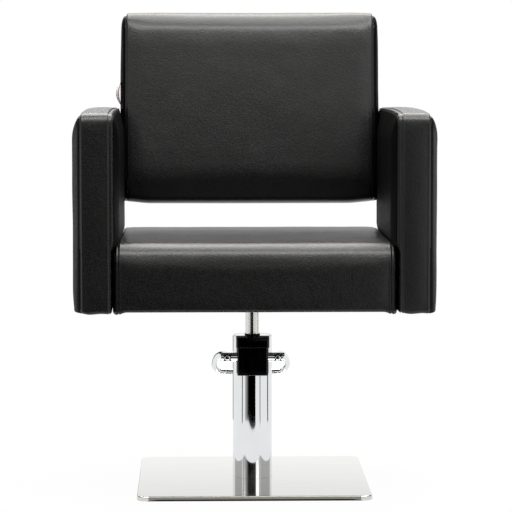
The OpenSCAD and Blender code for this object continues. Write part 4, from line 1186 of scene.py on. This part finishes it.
def cloth_sheet(name, low, high, hole):
    """Thin cloth stapled under a board, with a round hole for the hub or a small one"""
    mid = ((low[0] + high[0]) / 2, (low[1] + high[1]) / 2)
    corners = [(high[0], low[1]), high, (low[0], high[1]), low]
    edge = [(a[0] + (b[0] - a[0]) * i / 24, a[1] + (b[1] - a[1]) * i / 24)
            for a, b in zip(corners, corners[1:] + corners[:1]) for i in range(24)]
    rings = []
    for t in (0, 0.08, 0.2, 0.35, 0.5, 0.65, 0.8, 0.92, 1):
        ring = []
        for x, y in edge:
            dx, dy = x - mid[0], y - mid[1]
            inside = hole / hypot(dx, dy)
            share = inside + (1 - inside) * t
            px, py = mid[0] + dx * share, mid[1] + dy * share
            sag = 0.25 * noise.noise(Vector((px / 40, py / 40, 0.5)))
            ring.append((px, py, SEAT_Z - 0.5 + sag * (1 - t)))
        rings.append(ring)
    made = stacked(name, rings, CLOTH, close=False)
    thickened(made, 0.5)
    done(made, "chair", "dust_cloth", "dust_cloths")
    return made


cloth_sheet("dust_cloth_seat", SEAT_BOARD[0][:2], SEAT_BOARD[1][:2], HUB_HOLE_R)
for side, name in ((-1, "left"), (1, "right")):
    x = side * ARM_MID
    cloth_sheet("dust_cloth_arm_" + name, (x - half, y0), (x + half, y1), SMALL_HOLE_R)

for name, half_x, low, length in (("bracket_bolts", BRACKET_BOLT_X, BRACKET_LOW, 28),
                                  ("arm_bolts", ARM_MID, RAIL_LOW, 44)):
    spots = [(x, y, low) for x in (-half_x, half_x) for y in (-RAIL_Y, RAIL_Y)]
    done(bolts(name + "_hex", hex_bolt("bolt", 13, 5.3, 8, length, 0, STEEL), spots, (0, 0, 0), STEEL),
         "chair", "bright_steel", name)

# Studio


def seen(tree):
    """1 for what the camera sees, straight or in a reflection or through something clear, else 0"""
    light = tree.nodes.new("ShaderNodeLightPath").outputs
    share = light["Is Camera Ray"]
    for kind in ("Is Glossy Ray", "Is Transmission Ray"):
        share = put(tree, "ShaderNodeMath", {0: share, 1: light[kind]}, operation="MAXIMUM")
    return share


def white_floor():
    """Matt white floor that shows its own light to the camera and in reflections: in part near the column, so
    that shadows stay, and wholly further off"""
    made, tree, _, place = finish("white_floor")
    away = put(tree, "ShaderNodeVectorMath", {0: place}, "Value", operation="LENGTH")
    glow = put(tree, "ShaderNodeMapRange", {"Value": away, 1: 0.4, 2: 0.9, 3: 0.97, 4: 1.0},
               interpolation_type="SMOOTHSTEP")
    matt = put(tree, "ShaderNodeBsdfDiffuse", {"Color": tint("#d6d6d4")})
    lit = put(tree, "ShaderNodeEmission", {"Color": (1, 1, 1, 1), "Strength": 1.0})
    share = put(tree, "ShaderNodeMath", {0: seen(tree), 1: glow}, operation="MULTIPLY")
    both = put(tree, "ShaderNodeMixShader", {0: share, 1: matt, 2: lit})
    set_sockets(tree, tree.nodes["Material Output"], {"Surface": both})
    return made


reach = 9000
floor = piece_from("floor", [(-reach, -reach, 0), (reach, -reach, 0), (reach, reach, 0), (-reach, reach, 0)],
                   [(0, 1, 2, 3)], white_floor())
floor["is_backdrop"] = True


def dark_card():
    """Black flag; its tone attribute greys it where it catches some light"""
    made, tree, _, _ = finish("dark_card")
    tone = put(tree, "ShaderNodeAttribute", None, "Vector", attribute_name="tone")
    warm = put(tree, "ShaderNodeVectorMath", {0: tone, 1: (1.0, 0.985, 0.955)}, operation="MULTIPLY")
    lit = put(tree, "ShaderNodeEmission", {"Color": warm, "Strength": 1.0})
    set_sockets(tree, tree.nodes["Material Output"], {"Surface": lit})
    return made


DARK = dark_card()


def card(name, edges, near, far, levels, tone, bend=0.0):
    """Dark card between two azimuths, seen only in reflections; its near edge may bend outwards"""
    steps, rise = 32, 8
    points, tones = [], []
    middle = (edges[0] + edges[1]) / 2 + 5
    for i in range(steps + 1):
        turn = edges[0] + (edges[1] - edges[0]) * i / steps
        a = radians(turn)
        start = near + bend * (turn - middle) ** 2
        for j in range(rise + 1):
            r = start + (far - start) * j / rise
            z = levels[0] + (levels[1] - levels[0]) * j / rise
            points.append((r * sin(a), -r * cos(a), z))
            tones.append(tone(turn, r, z))
    made = piece_from(name, points, grid(steps + 1, rise + 1, ring=False, flip=True), DARK)
    mark(made, "tone", tones)
    made.visible_camera = False
    made.visible_diffuse = False
    made.visible_shadow = False
    made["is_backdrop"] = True
    return made


def black(turn, r, z):
    return 0.0


def side_wall(turn, r, z):
    """Wall beside the set: grey near the floor, dark above"""
    return 0.62 - 0.54 * ease(z, 900, 2000)


def dim_front(turn, r, z):
    """Wall behind the camera: dim near the floor, dark at table height, paler above; grey on the left"""
    side = min(1, max(0, (-24 - turn) / 20))
    up = 1.1 * min(1, max(0, (z - 1300) / 1400))
    low = 0.65 * ease(turn, -2, 8) * ease(z, 0, 150) * ease(-z, -700, -450)
    return 0.55 * side + (1 - side) * (up + low)


def dim_ceiling(turn, r, z):
    """Ceiling: lit in front of the set and behind it, dark at the sides"""
    front = (0.8 + 2.4 * ease(-r, -3600, -1700)) * ease(-abs(turn), -110, -70)
    return (front + 0.9 * ease(abs(turn), 120, 150)) * ease(r, 900, 1700)


SCREEN_R = 6000
SCREEN_H = 3000
for name, edges, near, tone, bend in (
    ("front", (-24, 17), 700, dim_front, 0.2), ("front_left", (-44, -24), 820, dim_front, 0.0),
    ("right_gap", (42, 46), 780, black, 0), ("left_gap", (-64, -59), 780, black, 0),
    ("right_edge", (96, 104), 780, black, 0), ("left_edge", (-168, -150), 780, black, 0),
):
    card(name + "_floor", edges, near, SCREEN_R, (1.5, 1.5), tone, bend)
    card(name + "_screen", edges, SCREEN_R, SCREEN_R, (0, 700 if tone is black else SCREEN_H), tone)
for name, edges, tone in (("right_front", (17, 42), side_wall), ("right", (46, 125), side_wall),
                          ("left", (-125, -64), side_wall), ("left_front", (-59, -44), side_wall)):
    card(name + "_wall", edges, SCREEN_R, SCREEN_R, (300, SCREEN_H), tone)
card("ceiling", (-180, 180), 1, SCREEN_R, (SCREEN_H, SCREEN_H), dim_ceiling)


def softbox(name, place, aim, size, watts, colour="#ffffff"):
    """Rectangular soft light"""
    data = bpy.data.lights.new(name, "AREA")
    data.shape = "RECTANGLE"
    data.size, data.size_y = size
    data.energy = watts
    data.color = tint(colour)[:3]
    made = fresh(name, data)
    made.location = place
    made.rotation_euler = (Vector(aim) - Vector(place)).to_track_quat("-Z", "Y").to_euler()
    made.visible_camera = False


softbox("overhead", (0.2, 0.15, 2.8), (0.1, -0.1, 0.5), (3.0, 1.1), 66)
softbox("overhead_front", (0.2, -1.45, 2.8), (0.1, -0.1, 0.5), (3.0, 0.9), 70)
softbox("overhead_rear", (0, 1.4, 2.5), (0, -0.2, 0.5), (3.0, 1.3), 80, "#fffaf6")
softbox("right_front", (1.8, -3.2, 1.5), (0, 0, 0.6), (0.9, 1.8), 10)
softbox("left_front", (-2.5, -2.3, 1.5), (0, 0, 0.6), (0.4, 1.6), 4)

world = bpy.data.worlds.new("studio")
SCENE.world = world
world.use_nodes = True
air = world.node_tree
air.nodes.clear()
level = put(air, "ShaderNodeMapRange", {"Value": seen(air), 3: 0.12, 4: 1.0})
sky = put(air, "ShaderNodeBackground", {"Color": (1, 1, 1, 1), "Strength": level})
put(air, "ShaderNodeOutputWorld", {"Surface": sky})

SCENE.view_settings.view_transform = "Standard"

low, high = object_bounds()
